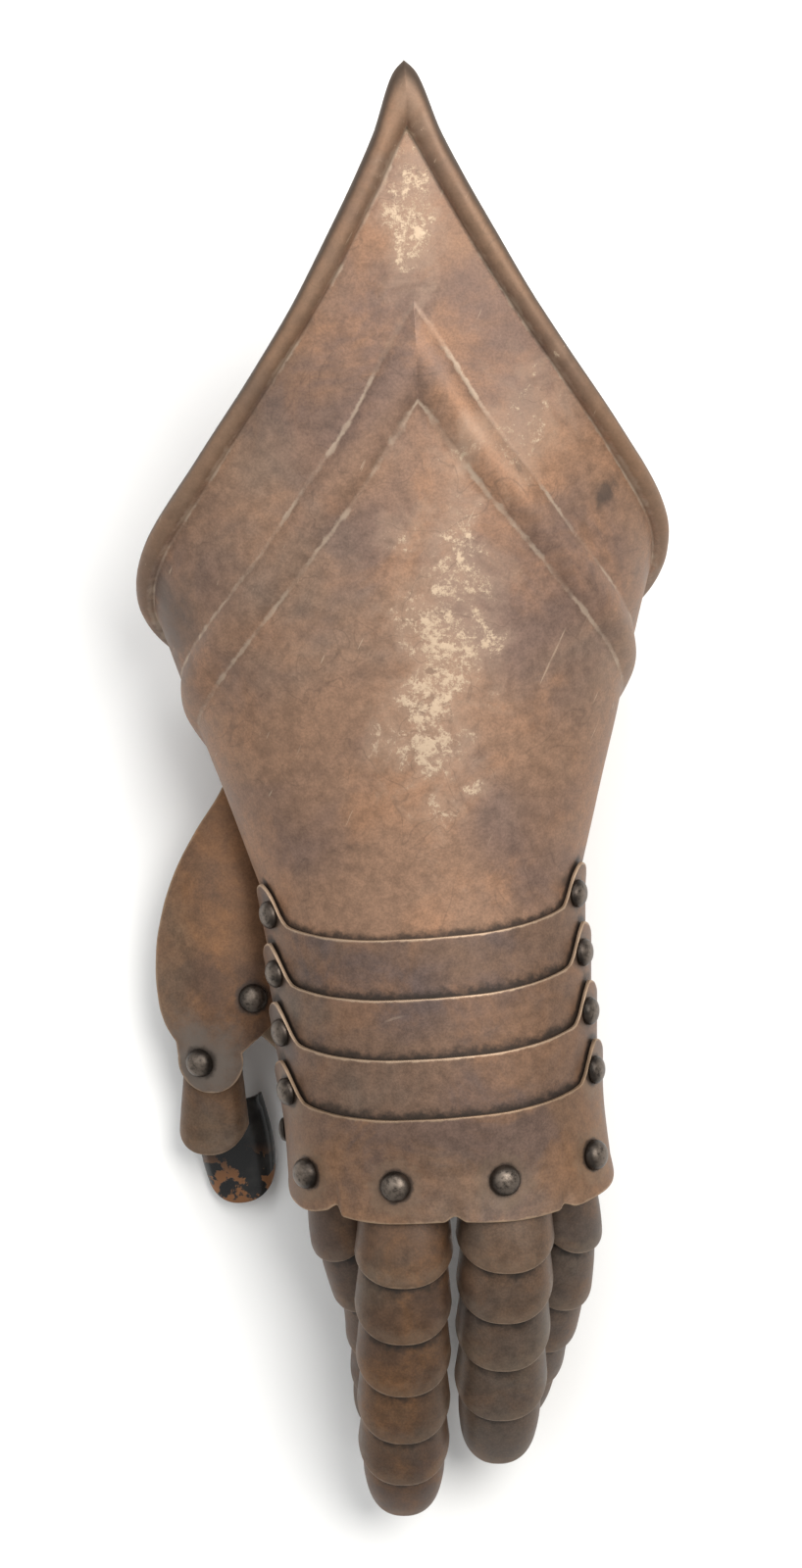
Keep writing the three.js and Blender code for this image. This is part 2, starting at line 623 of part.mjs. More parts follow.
// A flat strip through a list of frames, its top sunk under them by depth.
function strip(frames, half, depth, thick) {
  const grid = (drop) => frames.map(({ point, across, up }) => [-1, 1].map(
    (side) => point.clone().addScaledVector(across, side * half).addScaledVector(up, -drop),
  ));
  return plate(grid(depth), grid(depth + thick));
}

function addFinger(row, rivet) {
  const tilt = row.scales[0].roll * DEGREE;
  const root = rivet.point.clone().addScaledVector(rivet.normal, -row.under);
  root.add(new THREE.Vector3(Math.cos(tilt), 0, -Math.sin(tilt)).multiplyScalar(row.aside));
  const finger = { ...row, spine: spineOf(root, row.scales) };
  let start = 0;
  row.scales.forEach((scale, i) => {
    const isTip = i === row.scales.length - 1;
    const shape = { isTip, overlap: SCALE_OVERLAP, notch: SCALE_TONGUE };
    const sheet = scaleGeometry(finger, start, scale.length, shape);
    const drilledSheet = i === 0 ? drilled(sheet, [rivet], SHANK_HOLE) : sheet;
    add(`${row.name}_scale_${i + 1}`, drilledSheet, 'copper');
    start += scale.length;
  });
  const [from, to] = [-6, start - 14];
  const steps = Math.ceil((to - from) / 15);
  const stations = Array.from({ length: steps + 1 }, (_, i) => from + ((to - from) * i) / steps);
  const frames = stations.map((s) => finger.spine.at(s));
  const strap = strip(frames, STRAP_HALF, STRAP_DEPTH, STRAP_THICK);
  add(`${row.name}_strap`, drilled(strap, [rivet], SHANK_HOLE), 'leather');
  const stack = row.under + STRAP_DEPTH + STRAP_THICK + STRAP_SLACK;
  addRivet(`knuckle_rivet_${row.name}`, rivet, KNUCKLE_RIVET, stack);
}

// ---------- thumb ----------

const leafRidge = curveThrough(LEAF_RIDGE, 'y', 'height');
const leafSurface = (x, y) => new THREE.Vector3(x, y, leafRidge(y) - LEAF_BULGE * (x - LEAF_CREST) ** 2);

function addThumb() {
  const lobe = [0, 22, 45, 65, 82].map((degrees) => ({
    y: LOBE.y - LOBE.radius * Math.sin(degrees * DEGREE),
    outer: LOBE.x - LOBE.radius * Math.cos(degrees * DEGREE),
    inner: LOBE.x + LOBE.radius * Math.cos(degrees * DEGREE),
  }));
  const grid = (drop) => [...LEAF, ...lobe].map(({ y, outer, inner }) => (
    [0, 0.25, 0.5, 0.75, 1].map((share) => {
      const spot = spotOn(leafSurface, outer + (inner - outer) * share, y);
      return spot.point.addScaledVector(spot.normal, -drop);
    })
  ));
  const leafRivet = spotOn(leafSurface, LEAF_RIVET.x, LEAF_RIVET.y);
  const lobeRivet = spotOn(leafSurface, LOBE_RIVET.x, LOBE_RIVET.y);
  add('thumb_leaf', drilled(plate(grid(0), grid(SHEET)), [leafRivet, lobeRivet], SHANK_HOLE), 'copper');
  addRivet('thumb_rivet_leaf', leafRivet, THUMB_RIVET, SHEET + HANGER_GAP + HANGER_THICK);
  addRivet('thumb_rivet_lobe', lobeRivet, THUMB_RIVET, 2 * SHEET + 2.4);

  const scale = { ...THUMB_SCALE, spine: spineOf(THUMB_SCALE.root, THUMB_SCALE.scales) };
  const shape = { isTip: false, overlap: 0, notch: 0 };
  const sheet = scaleGeometry(scale, 0, THUMB_SCALE.scales[0].length, shape);
  add('thumb_scale', drilled(sheet, [lobeRivet], SHANK_HOLE), 'copper');
  const tip = { ...THUMB_TIP, spine: spineOf(THUMB_TIP.root, THUMB_TIP.scales) };
  const tipShape = { isTip: true, overlap: 0, notch: 0 };
  const tipSheet = scaleGeometry(tip, 0, THUMB_TIP.scales[0].length, tipShape);
  add('thumb_tip', tipSheet, 'black');
  addHanger(leafRivet);
}

// The hanger runs from inside the knuckle plate's end to the underside of the leaf.
function addHanger(leafRivet) {
  const ownRivet = spotOn(knuckleSurface, HANGER_RIVET.angle, HANGER_RIVET.y);
  const under = (spot, y) => spot.point.clone().addScaledVector(spot.normal, -SHEET - HANGER_GAP)
    .add(new THREE.Vector3(0, y, 0));
  const stations = [
    { point: under(ownRivet, -5), up: ownRivet.normal },
    { point: under(ownRivet, 3.2), up: ownRivet.normal },
    ...HANGER_BEND.map(({ x, y, z, facing }) => ({
      point: new THREE.Vector3(x, y, z), up: new THREE.Vector3(...facing).normalize(),
    })),
    { point: under(leafRivet, -3.4), up: leafRivet.normal },
    { point: under(leafRivet, 5), up: leafRivet.normal },
  ];
  const frames = stations.map(({ point, up }, i) => {
    const next = stations[Math.min(i + 1, stations.length - 1)].point;
    const forward = next.clone().sub(stations[Math.max(i - 1, 0)].point);
    return { point, up, across: forward.cross(up).normalize() };
  });
  const hanger = strip(frames, HANGER_HALF, 0, HANGER_THICK);
  add('thumb_hanger', drilled(hanger, [ownRivet, leafRivet], SHANK_HOLE), 'copper');
  addRivet('thumb_rivet_hanger', ownRivet, FLAT_RIVET, SHEET + HANGER_GAP + HANGER_THICK);
}

addCuff();
for (let j = 1; j < KNUCKLE; j += 1) addLame(j);
addKnucklePlate();
for (let j = 1; j <= KNUCKLE; j += 1) {
  wristSpots(j).forEach((spot, i) => {
    addRivet(`wrist_rivet_${j}_${['thumb', 'little'][i]}_side`, spot, WRIST_RIVET, 2 * SHEET + LAME_GAP);
  });
}
FINGERS.forEach((row, i) => addFinger(row, knuckleSpots[i]));
addThumb();

// The origin is the middle of the object's footprint, on the ground.
group.updateMatrixWorld(true);
const box = new THREE.Box3().setFromObject(group);
const middle = box.getCenter(new THREE.Vector3());
group.position.set(-middle.x, -middle.y, -box.min.z);

export default group;
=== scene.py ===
import math

import bmesh
import bpy
from mathutils import Matrix, Quaternion, Vector, noise


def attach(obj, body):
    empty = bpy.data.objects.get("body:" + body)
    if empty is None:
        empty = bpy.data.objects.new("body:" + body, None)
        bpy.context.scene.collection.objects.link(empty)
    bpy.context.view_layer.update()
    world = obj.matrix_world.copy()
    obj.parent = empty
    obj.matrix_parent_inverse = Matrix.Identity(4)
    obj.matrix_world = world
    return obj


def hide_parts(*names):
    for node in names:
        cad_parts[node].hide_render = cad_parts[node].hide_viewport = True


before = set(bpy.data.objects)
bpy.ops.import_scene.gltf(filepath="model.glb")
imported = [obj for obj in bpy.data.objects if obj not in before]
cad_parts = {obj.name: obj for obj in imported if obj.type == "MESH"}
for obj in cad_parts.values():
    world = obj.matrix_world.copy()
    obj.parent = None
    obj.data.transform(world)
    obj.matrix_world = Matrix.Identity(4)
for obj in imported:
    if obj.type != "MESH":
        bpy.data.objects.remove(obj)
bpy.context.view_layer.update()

# ---------------------------------------------------------------------------
# Cuff. One sheet of copper alloy beaten to a flared tube with a pointed peak. Its rim is rolled
# outwards over a wire, and a chevron rib is raised across it. It has gone brown with age, and the
# brown is rubbed through to pale metal in patches.
# ---------------------------------------------------------------------------

MM = 0.001
FOOTPRINT_MIDDLE = Vector((-1.5743, -11.8518, 0.0))  # the group is set on the middle of its footprint

SHEET = 1.1
AXIS_HEIGHT = 45.7
HAND_HALF = 46.4
HAND_TOP = 35.0
HAND_DRIFT = 0.03
KNUCKLE_DROP = 3.0
KNUCKLE_SPREAD = 3.4
FLARE_START = -29.5
FLARE_ROUNDING = 2.5
FLARE_SIDE = 0.303
FLARE_TOP = 0.156
FLARE_UNDER = 0.18
UNDERSIDE_SQUARENESS = 2.4
UNDERSIDE_FLAT = 0.96
PEAK_ANGLE = 5.2
ROLL_HEIGHT = 4.0
RIB_HEIGHT = 2.3

LAME_GAP = 0.65
LAME_PITCH = 17.2
LAME_TAPER = (SHEET + LAME_GAP) / LAME_PITCH
LAME_LIFT = 0.8
LAME_OVERLAP = 7.0
PIVOTS = [-35.2 - LAME_PITCH * j for j in range(4)]
PIVOT_ANGLE = 68.0

CUFF_LINES = [
    dict(turn=0, rim=197.2, fold=179.3, rib_top=132.1, rib_foot=105.8, wrist=-53),
    dict(turn=1.5, rim=194.2, fold=174.2, rib_top=128.6, rib_foot=102.9, wrist=-53),
    dict(turn=5, rim=177.7, fold=162.3, rib_top=120.2, rib_foot=95.6, wrist=-53),
    dict(turn=13, rim=152.4, fold=139.8, rib_top=101, rib_foot=80.6, wrist=-53),
    dict(turn=22, rim=130.5, fold=121, rib_top=86.2, rib_foot=67.8, wrist=-52),
    dict(turn=35, rim=108.7, fold=100.4, rib_top=68.4, rib_foot=52.6, wrist=-50),
    dict(turn=50, rim=91, fold=83, rib_top=54.6, rib_foot=39.8, wrist=-48),
    dict(turn=70, rim=75.4, fold=67.8, rib_top=42.4, rib_foot=28, wrist=-45),
    dict(turn=90, rim=62.8, fold=55.6, rib_top=34.6, rib_foot=20.8, wrist=-43),
    dict(turn=130, rim=44, fold=36.6, rib_top=14, rib_foot=1, wrist=-42),
    dict(turn=160, rim=27, fold=20, rib_top=-2, rib_foot=-14, wrist=-42),
    dict(turn=180, rim=27, fold=20, rib_top=-2, rib_foot=-14, wrist=-42),
]
LAME_EDGES = [
    dict(angle=0, upper=-9, lower=-33.2),
    dict(angle=18, upper=-8.7, lower=-32.8),
    dict(angle=36, upper=-7.3, lower=-31.2),
    dict(angle=50, upper=-5.2, lower=-29),
    dict(angle=58, upper=-3.4, lower=-27.9),
    dict(angle=61, upper=-1.2, lower=-27.4),
    dict(angle=64, upper=2.4, lower=-27),
    dict(angle=67.5, upper=6.4, lower=-26.6),
    dict(angle=71.5, upper=8.8, lower=-26.2),
    dict(angle=76, upper=8.2, lower=-25.7),
    dict(angle=84, upper=5.6, lower=-25),
    dict(angle=94, upper=1.5, lower=-23.5),
    dict(angle=101, upper=-2.5, lower=-21),
    dict(angle=106, upper=-8, lower=-17),
]


def curve_through(rows, at, value):
    """A smooth curve through a table's rows that does not overshoot between them."""
    if len(rows) == 1:
        return lambda wanted: rows[0][value]
    x = [row[at] for row in rows]
    y = [row[value] for row in rows]
    rise = [(y[i + 1] - y[i]) / (x[i + 1] - x[i]) for i in range(len(x) - 1)]
    slope = [rise[0]]
    for before, after in zip(rise, rise[1:]):
        slope.append(2 * before * after / (before + after) if before * after > 0 else 0.0)
    slope.append(rise[-1])

    def height(wanted):
        q = min(max(wanted, x[0]), x[-1])
        i = next((k for k in range(len(x) - 2) if x[k + 1] > q), len(x) - 2)
        step = x[i + 1] - x[i]
        t = (q - x[i]) / step
        mix = t * t * (3 - 2 * t)
        bend = slope[i] * t * (1 - t) ** 2 - slope[i + 1] * t * t * (1 - t)
        return y[i] * (1 - mix) + y[i + 1] * mix + step * bend

    return height


def clamp(value, low=0.0, high=1.0):
    return min(max(value, low), high)


def ease(value):
    t = clamp(value)
    return t * t * (3 - 2 * t)


def flare_at(y):
    past = y - FLARE_START
    if past > FLARE_ROUNDING:
        return past
    return (clamp(past, -FLARE_ROUNDING, FLARE_ROUNDING) + FLARE_ROUNDING) ** 2 / (4 * FLARE_ROUNDING)


def hand_point(y, angle, offset):
    """A point on the section of arm and hand. Its upper half is an ellipse, its lower half squarer."""
    knuckle = ease((-y - 90) / 38)
    flare = flare_at(y)
    centre = HAND_DRIFT * max(0.0, PIVOTS[0] - y)
    half = HAND_HALF + KNUCKLE_SPREAD * knuckle + FLARE_SIDE * flare + offset
    s, c = math.sin(math.radians(angle)), math.cos(math.radians(angle))
    if c >= 0:
        top = HAND_TOP - KNUCKLE_DROP * knuckle + FLARE_TOP * flare + offset
        return Vector((centre + half * s, y, AXIS_HEIGHT + top * c))
    power = 2 / UNDERSIDE_SQUARENESS
    under = HAND_TOP + FLARE_UNDER * flare + offset
    depth = min(under * (-c) ** power, under * UNDERSIDE_FLAT)
    side = half * math.copysign(abs(s) ** power, s)
    return Vector((centre + side, y, AXIS_HEIGHT - depth))


def lame_offset(j, y):
    """Height of plate j over the mean section: each plate sinks under the next. The cuff is plate 0."""
    edge = PIVOTS[0] - LAME_PITCH * (j - 1) + LAME_EDGES[0]["upper"]
    return LAME_LIFT + LAME_TAPER * max(y - edge, -LAME_PITCH - LAME_OVERLAP)


def spot_on(surface, u, v):
    """The point and outward normal of a surface given as a function of two numbers."""
    step = 0.01
    along_u = surface(u + step, v) - surface(u - step, v)
    along_v = surface(u, v + step) - surface(u, v - step)
    return surface(u, v), along_u.cross(along_v).normalized()


def beaten(point, depth, size):
    """How far the hammer left the sheet in or out at a point, in millimetres."""
    return depth * (noise.noise(point / size) + 0.4 * noise.noise(point / (size * 0.37)))


def laid_grid(columns, rows, place, marks):
    """A grid bent to a form. place gives, for two shares, the point and the value of each mark."""
    mesh = bmesh.new()
    bmesh.ops.create_grid(mesh, x_segments=columns, y_segments=rows, size=1)
    layers = [mesh.verts.layers.float.new(mark) for mark in marks]
    for corner in mesh.verts:
        point, values = place((corner.co.x + 1) / 2, (corner.co.y + 1) / 2)
        corner.co = (point - FOOTPRINT_MIDDLE) * MM
        for layer, value in zip(layers, values):
            corner[layer] = value
    return mesh


def piece_of(mesh, name, finish, material_slot, body, *nodes):
    """Makes the mesh a smooth-shaded piece that stands for its nodes and rides on their body."""
    for face in mesh.faces:
        face.smooth = True
    data = bpy.data.meshes.new(name)
    mesh.to_mesh(data)
    mesh.free()
    data.materials.append(finish)
    piece = bpy.data.objects.new(name, data)
    bpy.context.scene.collection.objects.link(piece)
    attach(piece, body)
    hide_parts(*nodes)
    return piece


def give_thickness(piece, thickness, rounding):
    """Gives a sheet its thickness inwards, then rounds its cut edges."""
    wall = piece.modifiers.new("sheet", "SOLIDIFY")
    wall.thickness = thickness * MM
    wall.offset = -1
    wall.use_even_offset = True
    edge = piece.modifiers.new("filed edge", "BEVEL")
    edge.width = rounding * MM
    edge.segments = 2
    edge.limit_method = "ANGLE"
    edge.angle_limit = math.radians(50)
    edge.use_clamp_overlap = True
    return piece


def cuff_surface(angle, y):
    return hand_point(y, angle, lame_offset(0, min(y, FLARE_START)))


WRIST_MARKS = ["edge", "cover", "crease", "crest", "rivet"]
cuff_line = {name: curve_through(CUFF_LINES, "turn", name) for name in CUFF_LINES[0] if name != "turn"}
lame_upper = curve_through(LAME_EDGES, "angle", "upper")
lame_lower = curve_through(LAME_EDGES, "angle", "lower")
wrist_spots = {
    j: [
        spot_on(lambda a, y: hand_point(y, a, lame_offset(j, y)), side * PIVOT_ANGLE, PIVOTS[j - 1])
        for side in (-1, 1)
    ]
    for j in (1, 2, 3, 4)
}


def nearest(point, spots):
    """Distance from a point to the nearest of some rivets."""
    return min((point - centre).length for centre, _ in spots)


def cuff_rows():
    """The rows round the sheet's section: up the outside, over the roll, and down the inside."""
    rows = []

    def run(start, end, count, lift, inside=False):
        for k in range(count):
            share = k / count
            rows.append((start, end, share, lift(share), inside))

    run("wrist", "rib_foot", 34, lambda t: 0.0)
    run("rib_foot", "rib_top", 18, lambda t: RIB_HEIGHT * math.sin(math.pi * t) ** 0.9)
    run("rib_top", "fold", 26, lambda t: 0.0)
    for k in range(23):
        around = math.pi * k / 22
        rows.append(("fold", "rim", (1 - math.cos(around)) / 2, ROLL_HEIGHT * math.sin(around), False))
    run("rim", "rib_top", 16, lambda t: 0.0, inside=True)
    run("rib_top", "rib_foot", 9, lambda t: RIB_HEIGHT * math.sin(math.pi * t) ** 0.9, inside=True)
    run("rib_foot", "wrist", 16, lambda t: 0.0, inside=True)
    rows.append(("rib_foot", "wrist", 1.0, 0.0, True))
    rows.append(("rib_foot", "wrist", 1.0, 0.0, False))
    return rows


cuff_profile = cuff_rows()
CUFF_COLUMNS = 320
cuff_columns = {}


def cuff_place(around, up):
    row = round(up * (len(cuff_profile) - 1))
    start, end, share, lift, inside = cuff_profile[row]
    w = 2 * around - 1
    turn = 180 * math.copysign(abs(w) ** 1.5, w)
    lines = cuff_columns.get(turn)
    if lines is None:
        lines = cuff_columns[turn] = {name: height(abs(turn)) for name, height in cuff_line.items()}
    y = lines[start] + (lines[end] - lines[start]) * share
    point, normal = spot_on(cuff_surface, turn + PEAK_ANGLE, y)
    wrist = ease((y + 20) / 25)
    lift += wrist * beaten(point, 0.35, 30) - (SHEET if inside else 0.0)
    point = point + normal * lift
    point.z = max(point.z, 0.0)
    slant = 1 / math.hypot(1, (cuff_line["rim"](abs(turn) + 1) - cuff_line["rim"](abs(turn) - 1)) / 3)
    crease = min(abs(y - lines[name]) for name in ("fold", "rib_top", "rib_foot")) * slant
    cover = y - (PIVOTS[0] + lame_upper(abs(turn + PEAK_ANGLE)))
    rolled = (y - lines["fold"]) / (lines["rim"] - lines["fold"])
    ribbed = (y - lines["rib_foot"]) / (lines["rib_top"] - lines["rib_foot"])
    crest = 0.0
    if not inside and rolled > 0:
        crest = 1 + rolled
    elif not inside and 0 < ribbed < 1:
        crest = math.sin(math.pi * ribbed)
    return point, ((lines["rim"] - y) * slant, cover, crease, crest, nearest(point, wrist_spots[1]))


# The patina's effects: each is a group that any of the plates' finishes can use.


def new_group(name, inputs, outputs):
    """An empty effect group with named inputs and outputs, each (socket type, name, default)."""
    tree = bpy.data.node_groups.new(name, "ShaderNodeTree")
    for kind, label, default in inputs:
        socket = tree.interface.new_socket(name=label, in_out="INPUT", socket_type=kind)
        if default is not None:
            socket.default_value = default
    for kind, label in outputs:
        tree.interface.new_socket(name=label, in_out="OUTPUT", socket_type=kind)
    return tree, tree.nodes.new("NodeGroupInput").outputs, tree.nodes.new("NodeGroupOutput").inputs


def put(tree, kind, inputs=(), **settings):
    """Adds a node. inputs is pairs of socket name or number and a value or a socket to link from."""
    made = tree.nodes.new("ShaderNode" + kind)
    for setting, value in settings.items():
        setattr(made, setting, value)
    for socket, value in inputs:
        if isinstance(value, bpy.types.NodeSocket):
            tree.links.new(value, made.inputs[socket])
        else:
            made.inputs[socket].default_value = value
    return made


def maths(tree, operation, a, b=0.0, clamped=False):
    return put(tree, "Math", [(0, a), (1, b)], operation=operation, use_clamp=clamped).outputs[0]


def stepped(tree, value, low, high, to_low=0.0, to_high=1.0):
    """A soft step: to_low below low, to_high above high."""
    pairs = [("Value", value), ("From Min", low), ("From Max", high), ("To Min", to_low), ("To Max", to_high)]
    return put(tree, "MapRange", pairs, interpolation_type="SMOOTHSTEP").outputs[0]


def blotches(tree, place, scale, detail=4.0, roughness=0.6, distortion=0.0):
    pairs = [("Vector", place), ("Scale", scale), ("Detail", detail), ("Roughness", roughness)]
    return put(tree, "TexNoise", pairs + [("Distortion", distortion)]).outputs["Fac"]


def mixed(tree, share, a, b, blend="MIX"):
    pairs = [(0, share), (6, a), (7, b)]
    return put(tree, "Mix", pairs, data_type="RGBA", blend_type=blend).outputs[2]


def grouped(tree, group, inputs=()):
    made = tree.nodes.new("ShaderNodeGroup")
    made.node_tree = group
    for socket, value in inputs:
        if isinstance(value, bpy.types.NodeSocket):
            tree.links.new(value, made.inputs[socket])
        else:
            made.inputs[socket].default_value = value
    return made.outputs


# Brown age on copper alloy: brown, orange, plum and grey zones with fine mottling and dark pores.
aged_brown, into, out = new_group(
    "aged brown",
    [
        ("NodeSocketVector", "Place", None),
        ("NodeSocketColor", "Brown", (0.25, 0.15, 0.1, 1)),
        ("NodeSocketColor", "Orange", (0.33, 0.16, 0.08, 1)),
        ("NodeSocketColor", "Plum", (0.17, 0.1, 0.08, 1)),
        ("NodeSocketColor", "Grey", (0.2, 0.17, 0.13, 1)),
        ("NodeSocketFloat", "Zones", 22.0),
    ],
    [("NodeSocketColor", "Colour"), ("NodeSocketFloat", "Mottle"), ("NodeSocketFloat", "Pores")],
)
zone_size = into["Zones"]
wide = blotches(aged_brown, into["Place"], zone_size, 3, 0.55, 0.4)
shifted = put(aged_brown, "Mapping", [("Vector", into["Place"]), ("Location", (1.7, 0.4, 0.9))]).outputs[0]
warm = blotches(aged_brown, shifted, maths(aged_brown, "MULTIPLY", zone_size, 1.6), 5, 0.62, 0.8)
cool = blotches(aged_brown, shifted, maths(aged_brown, "MULTIPLY", zone_size, 0.7), 4, 0.6, 0.3)
mottle = blotches(aged_brown, into["Place"], 260, 6, 0.65)
fine = blotches(aged_brown, into["Place"], 1500, 3, 0.6)
tone = mixed(aged_brown, stepped(aged_brown, wide, 0.4, 0.64), into["Brown"], into["Plum"])
tone = mixed(aged_brown, stepped(aged_brown, warm, 0.44, 0.68, 0, 0.75), tone, into["Orange"])
tone = mixed(aged_brown, stepped(aged_brown, cool, 0.5, 0.74, 0, 0.65), tone, into["Grey"])
light = stepped(aged_brown, mottle, 0.3, 0.7, 0.8, 1.17)
light = maths(aged_brown, "MULTIPLY", light, stepped(aged_brown, fine, 0.3, 0.7, 0.86, 1.13))
grey_light = put(aged_brown, "CombineColor", [(0, light), (1, light), (2, light)]).outputs[0]
aged_brown.links.new(mixed(aged_brown, 1.0, tone, grey_light, "MULTIPLY"), out["Colour"])
aged_brown.links.new(mottle, out["Mottle"])
aged_brown.links.new(stepped(aged_brown, fine, 0.66, 0.74), out["Pores"])

# A patch where the brown is rubbed or dusted off in speckles, strongest at its middle.
rubbed_patch, into, out = new_group(
    "rubbed patch",
    [
        ("NodeSocketVector", "Place", None),
        ("NodeSocketVector", "Middle", (0, 0, 0)),
        ("NodeSocketVector", "Reach", (0.02, 0.04, 0.05)),
        ("NodeSocketFloat", "Turn", 0.0),
        ("NodeSocketFloat", "Cover", 0.5),
        ("NodeSocketFloat", "Grain", 520.0),
    ],
    [("NodeSocketFloat", "Mask"), ("NodeSocketFloat", "Field")],
)
offset = put(rubbed_patch, "VectorMath", [(0, into["Place"]), (1, into["Middle"])], operation="SUBTRACT").outputs[0]
turn = put(rubbed_patch, "VectorRotate", [("Vector", offset), ("Angle", into["Turn"])], rotation_type="Z_AXIS")
share = put(rubbed_patch, "VectorMath", [(0, turn.outputs[0]), (1, into["Reach"])], operation="DIVIDE").outputs[0]
distance = put(rubbed_patch, "VectorMath", [(0, share)], operation="LENGTH").outputs["Value"]
ragged = blotches(rubbed_patch, into["Place"], 70, 5, 0.65, 0.5)
distance = maths(rubbed_patch, "ADD", distance, stepped(rubbed_patch, ragged, 0.2, 0.8, -0.55, 0.55))
field = stepped(rubbed_patch, distance, 0.25, 1.05, 1.0, 0.0)
cloud = blotches(rubbed_patch, into["Place"], 150, 6, 0.7, 0.2)
speck = blotches(rubbed_patch, into["Place"], into["Grain"], 8, 0.85)
level = maths(rubbed_patch, "MULTIPLY", field, into["Cover"])
level = maths(rubbed_patch, "ADD", level, stepped(rubbed_patch, cloud, 0.3, 0.7, -0.18, 0.18))
cut = maths(rubbed_patch, "SUBTRACT", 0.86, maths(rubbed_patch, "MULTIPLY", level, 0.6))
mask = stepped(rubbed_patch, maths(rubbed_patch, "SUBTRACT", speck, cut), -0.06, 0.07)
rubbed_patch.links.new(maths(rubbed_patch, "MULTIPLY", mask, stepped(rubbed_patch, field, 0.0, 0.3)), out["Mask"])
rubbed_patch.links.new(field, out["Field"])

# A narrow band along a line that the mesh measures in millimetres: painted shade with dirt, a bright edge or a halo.
line_band, into, out = new_group(
    "line band",
    [
        ("NodeSocketVector", "Place", None),
        ("NodeSocketFloat", "Distance", 10.0),
        ("NodeSocketFloat", "From", 0.0),
        ("NodeSocketFloat", "To", 2.0),
        ("NodeSocketFloat", "Ragged", 1.0),
        ("NodeSocketFloat", "Size", 300.0),
    ],
    [("NodeSocketFloat", "Mask")],
)
wander = stepped(line_band, blotches(line_band, into["Place"], into["Size"], 5, 0.65), 0.25, 0.75, -1, 1)
moved = maths(line_band, "ADD", into["Distance"], maths(line_band, "MULTIPLY", wander, into["Ragged"]))
band = put(
    line_band,
    "MapRange",
    [("Value", moved), ("From Min", into["From"]), ("From Max", into["To"]), ("To Min", 1.0), ("To Max", 0.0)],
    interpolation_type="SMOOTHSTEP",
).outputs[0]
line_band.links.new(band, out["Mask"])

# Fine scratches, and the thin curling lines that drying water leaves.
fine_lines, into, out = new_group(
    "fine lines",
    [("NodeSocketVector", "Place", None), ("NodeSocketFloat", "Scratch turn", 0.6)],
    [("NodeSocketFloat", "Scratches"), ("NodeSocketFloat", "Tide lines")],
)
turned = put(fine_lines, "VectorRotate", [("Vector", into["Place"]), ("Angle", into["Scratch turn"])],
             rotation_type="Z_AXIS").outputs[0]
drawn = put(fine_lines, "Mapping", [("Vector", turned), ("Scale", (1.0, 0.045, 0.3))]).outputs[0]
streak = blotches(fine_lines, drawn, 900, 2, 0.5)
gate = blotches(fine_lines, into["Place"], 60, 3, 0.6)
scratch = maths(fine_lines, "MULTIPLY", stepped(fine_lines, streak, 0.7, 0.74), stepped(fine_lines, gate, 0.52, 0.6))
fine_lines.links.new(scratch, out["Scratches"])
pool = blotches(fine_lines, into["Place"], 34, 3, 0.55, 0.6)
tide = maths(fine_lines, "ABSOLUTE", maths(fine_lines, "SUBTRACT", pool, 0.5))
fine_lines.links.new(stepped(fine_lines, tide, 0.0, 0.006, 1.0, 0.0), out["Tide lines"])


def mark(tree, name):
    """A distance or share that the mesh carries at each point."""
    return put(tree, "Attribute", attribute_name=name, attribute_type="GEOMETRY").outputs["Fac"]


def new_finish(name):
    """A material with a bare shader, and the place on the piece that its patterns read."""
    finish = bpy.data.materials.new(name)
    finish.use_nodes = True
    tree = finish.node_tree
    shader = tree.nodes["Principled BSDF"]
    place = put(tree, "TexCoord").outputs["Object"]
    return finish, tree, shader, place


def set_relief(tree, shader, height, distance):
    bump = put(tree, "Bump", [("Height", height), ("Distance", distance), ("Strength", 1.0)])
    tree.links.new(bump.outputs[0], shader.inputs["Normal"])


PALE_METAL = (0.5, 0.38, 0.27, 1)
# Near-black for painted shade with dirt, where one part lies over another and round the foot of each rivet head.
SHADE_AND_DIRT = (0.022, 0.016, 0.012, 1)

cuff_finish, tree, shader, place = new_finish("cuff copper")
brown = grouped(tree, aged_brown, [
    ("Place", place), ("Brown", (0.245, 0.143, 0.09, 1)), ("Orange", (0.3, 0.16, 0.09, 1)),
    ("Plum", (0.17, 0.106, 0.08, 1)), ("Grey", (0.2, 0.148, 0.112, 1)), ("Zones", 17.0),
])
lines = grouped(tree, fine_lines, [("Place", place), ("Scratch turn", 0.5)])
colour = brown["Colour"]
rub = None
STAINS = [  # middle, reach and turn of each dark stain, how much it darkens and its colour
    dict(name="grey at the low left", middle=(-0.066, 0.06, 0.06), reach=(0.013, 0.02, 0.06), turn=0.2, cover=0.55),
    dict(name="pit and its smudge", middle=(0.062, 0.092, 0.09), reach=(0.004, 0.007, 0.05), turn=0.6, cover=0.7),
    dict(name="spot by the wrist", middle=(0.044, -0.02, 0.08), reach=(0.003, 0.003, 0.05), turn=0.0, cover=0.7),
    dict(name="left of the rib", middle=(-0.03, 0.13, 0.1), reach=(0.022, 0.03, 0.06), turn=-0.4, cover=0.25),
]
PATCHES = [  # middle, reach and turn of each rubbed patch, its cover and the pale it shows
    dict(name="under the peak", middle=(0.009, 0.168, 0.12), reach=(0.011, 0.034, 0.05), turn=0.05, cover=0.56),
    dict(name="middle", middle=(0.012, 0.05, 0.1), reach=(0.022, 0.07, 0.06), turn=0.1, cover=0.58),
    dict(name="right of the rib", middle=(0.037, 0.112, 0.1), reach=(0.016, 0.028, 0.05), turn=0.5, cover=0.4),
]
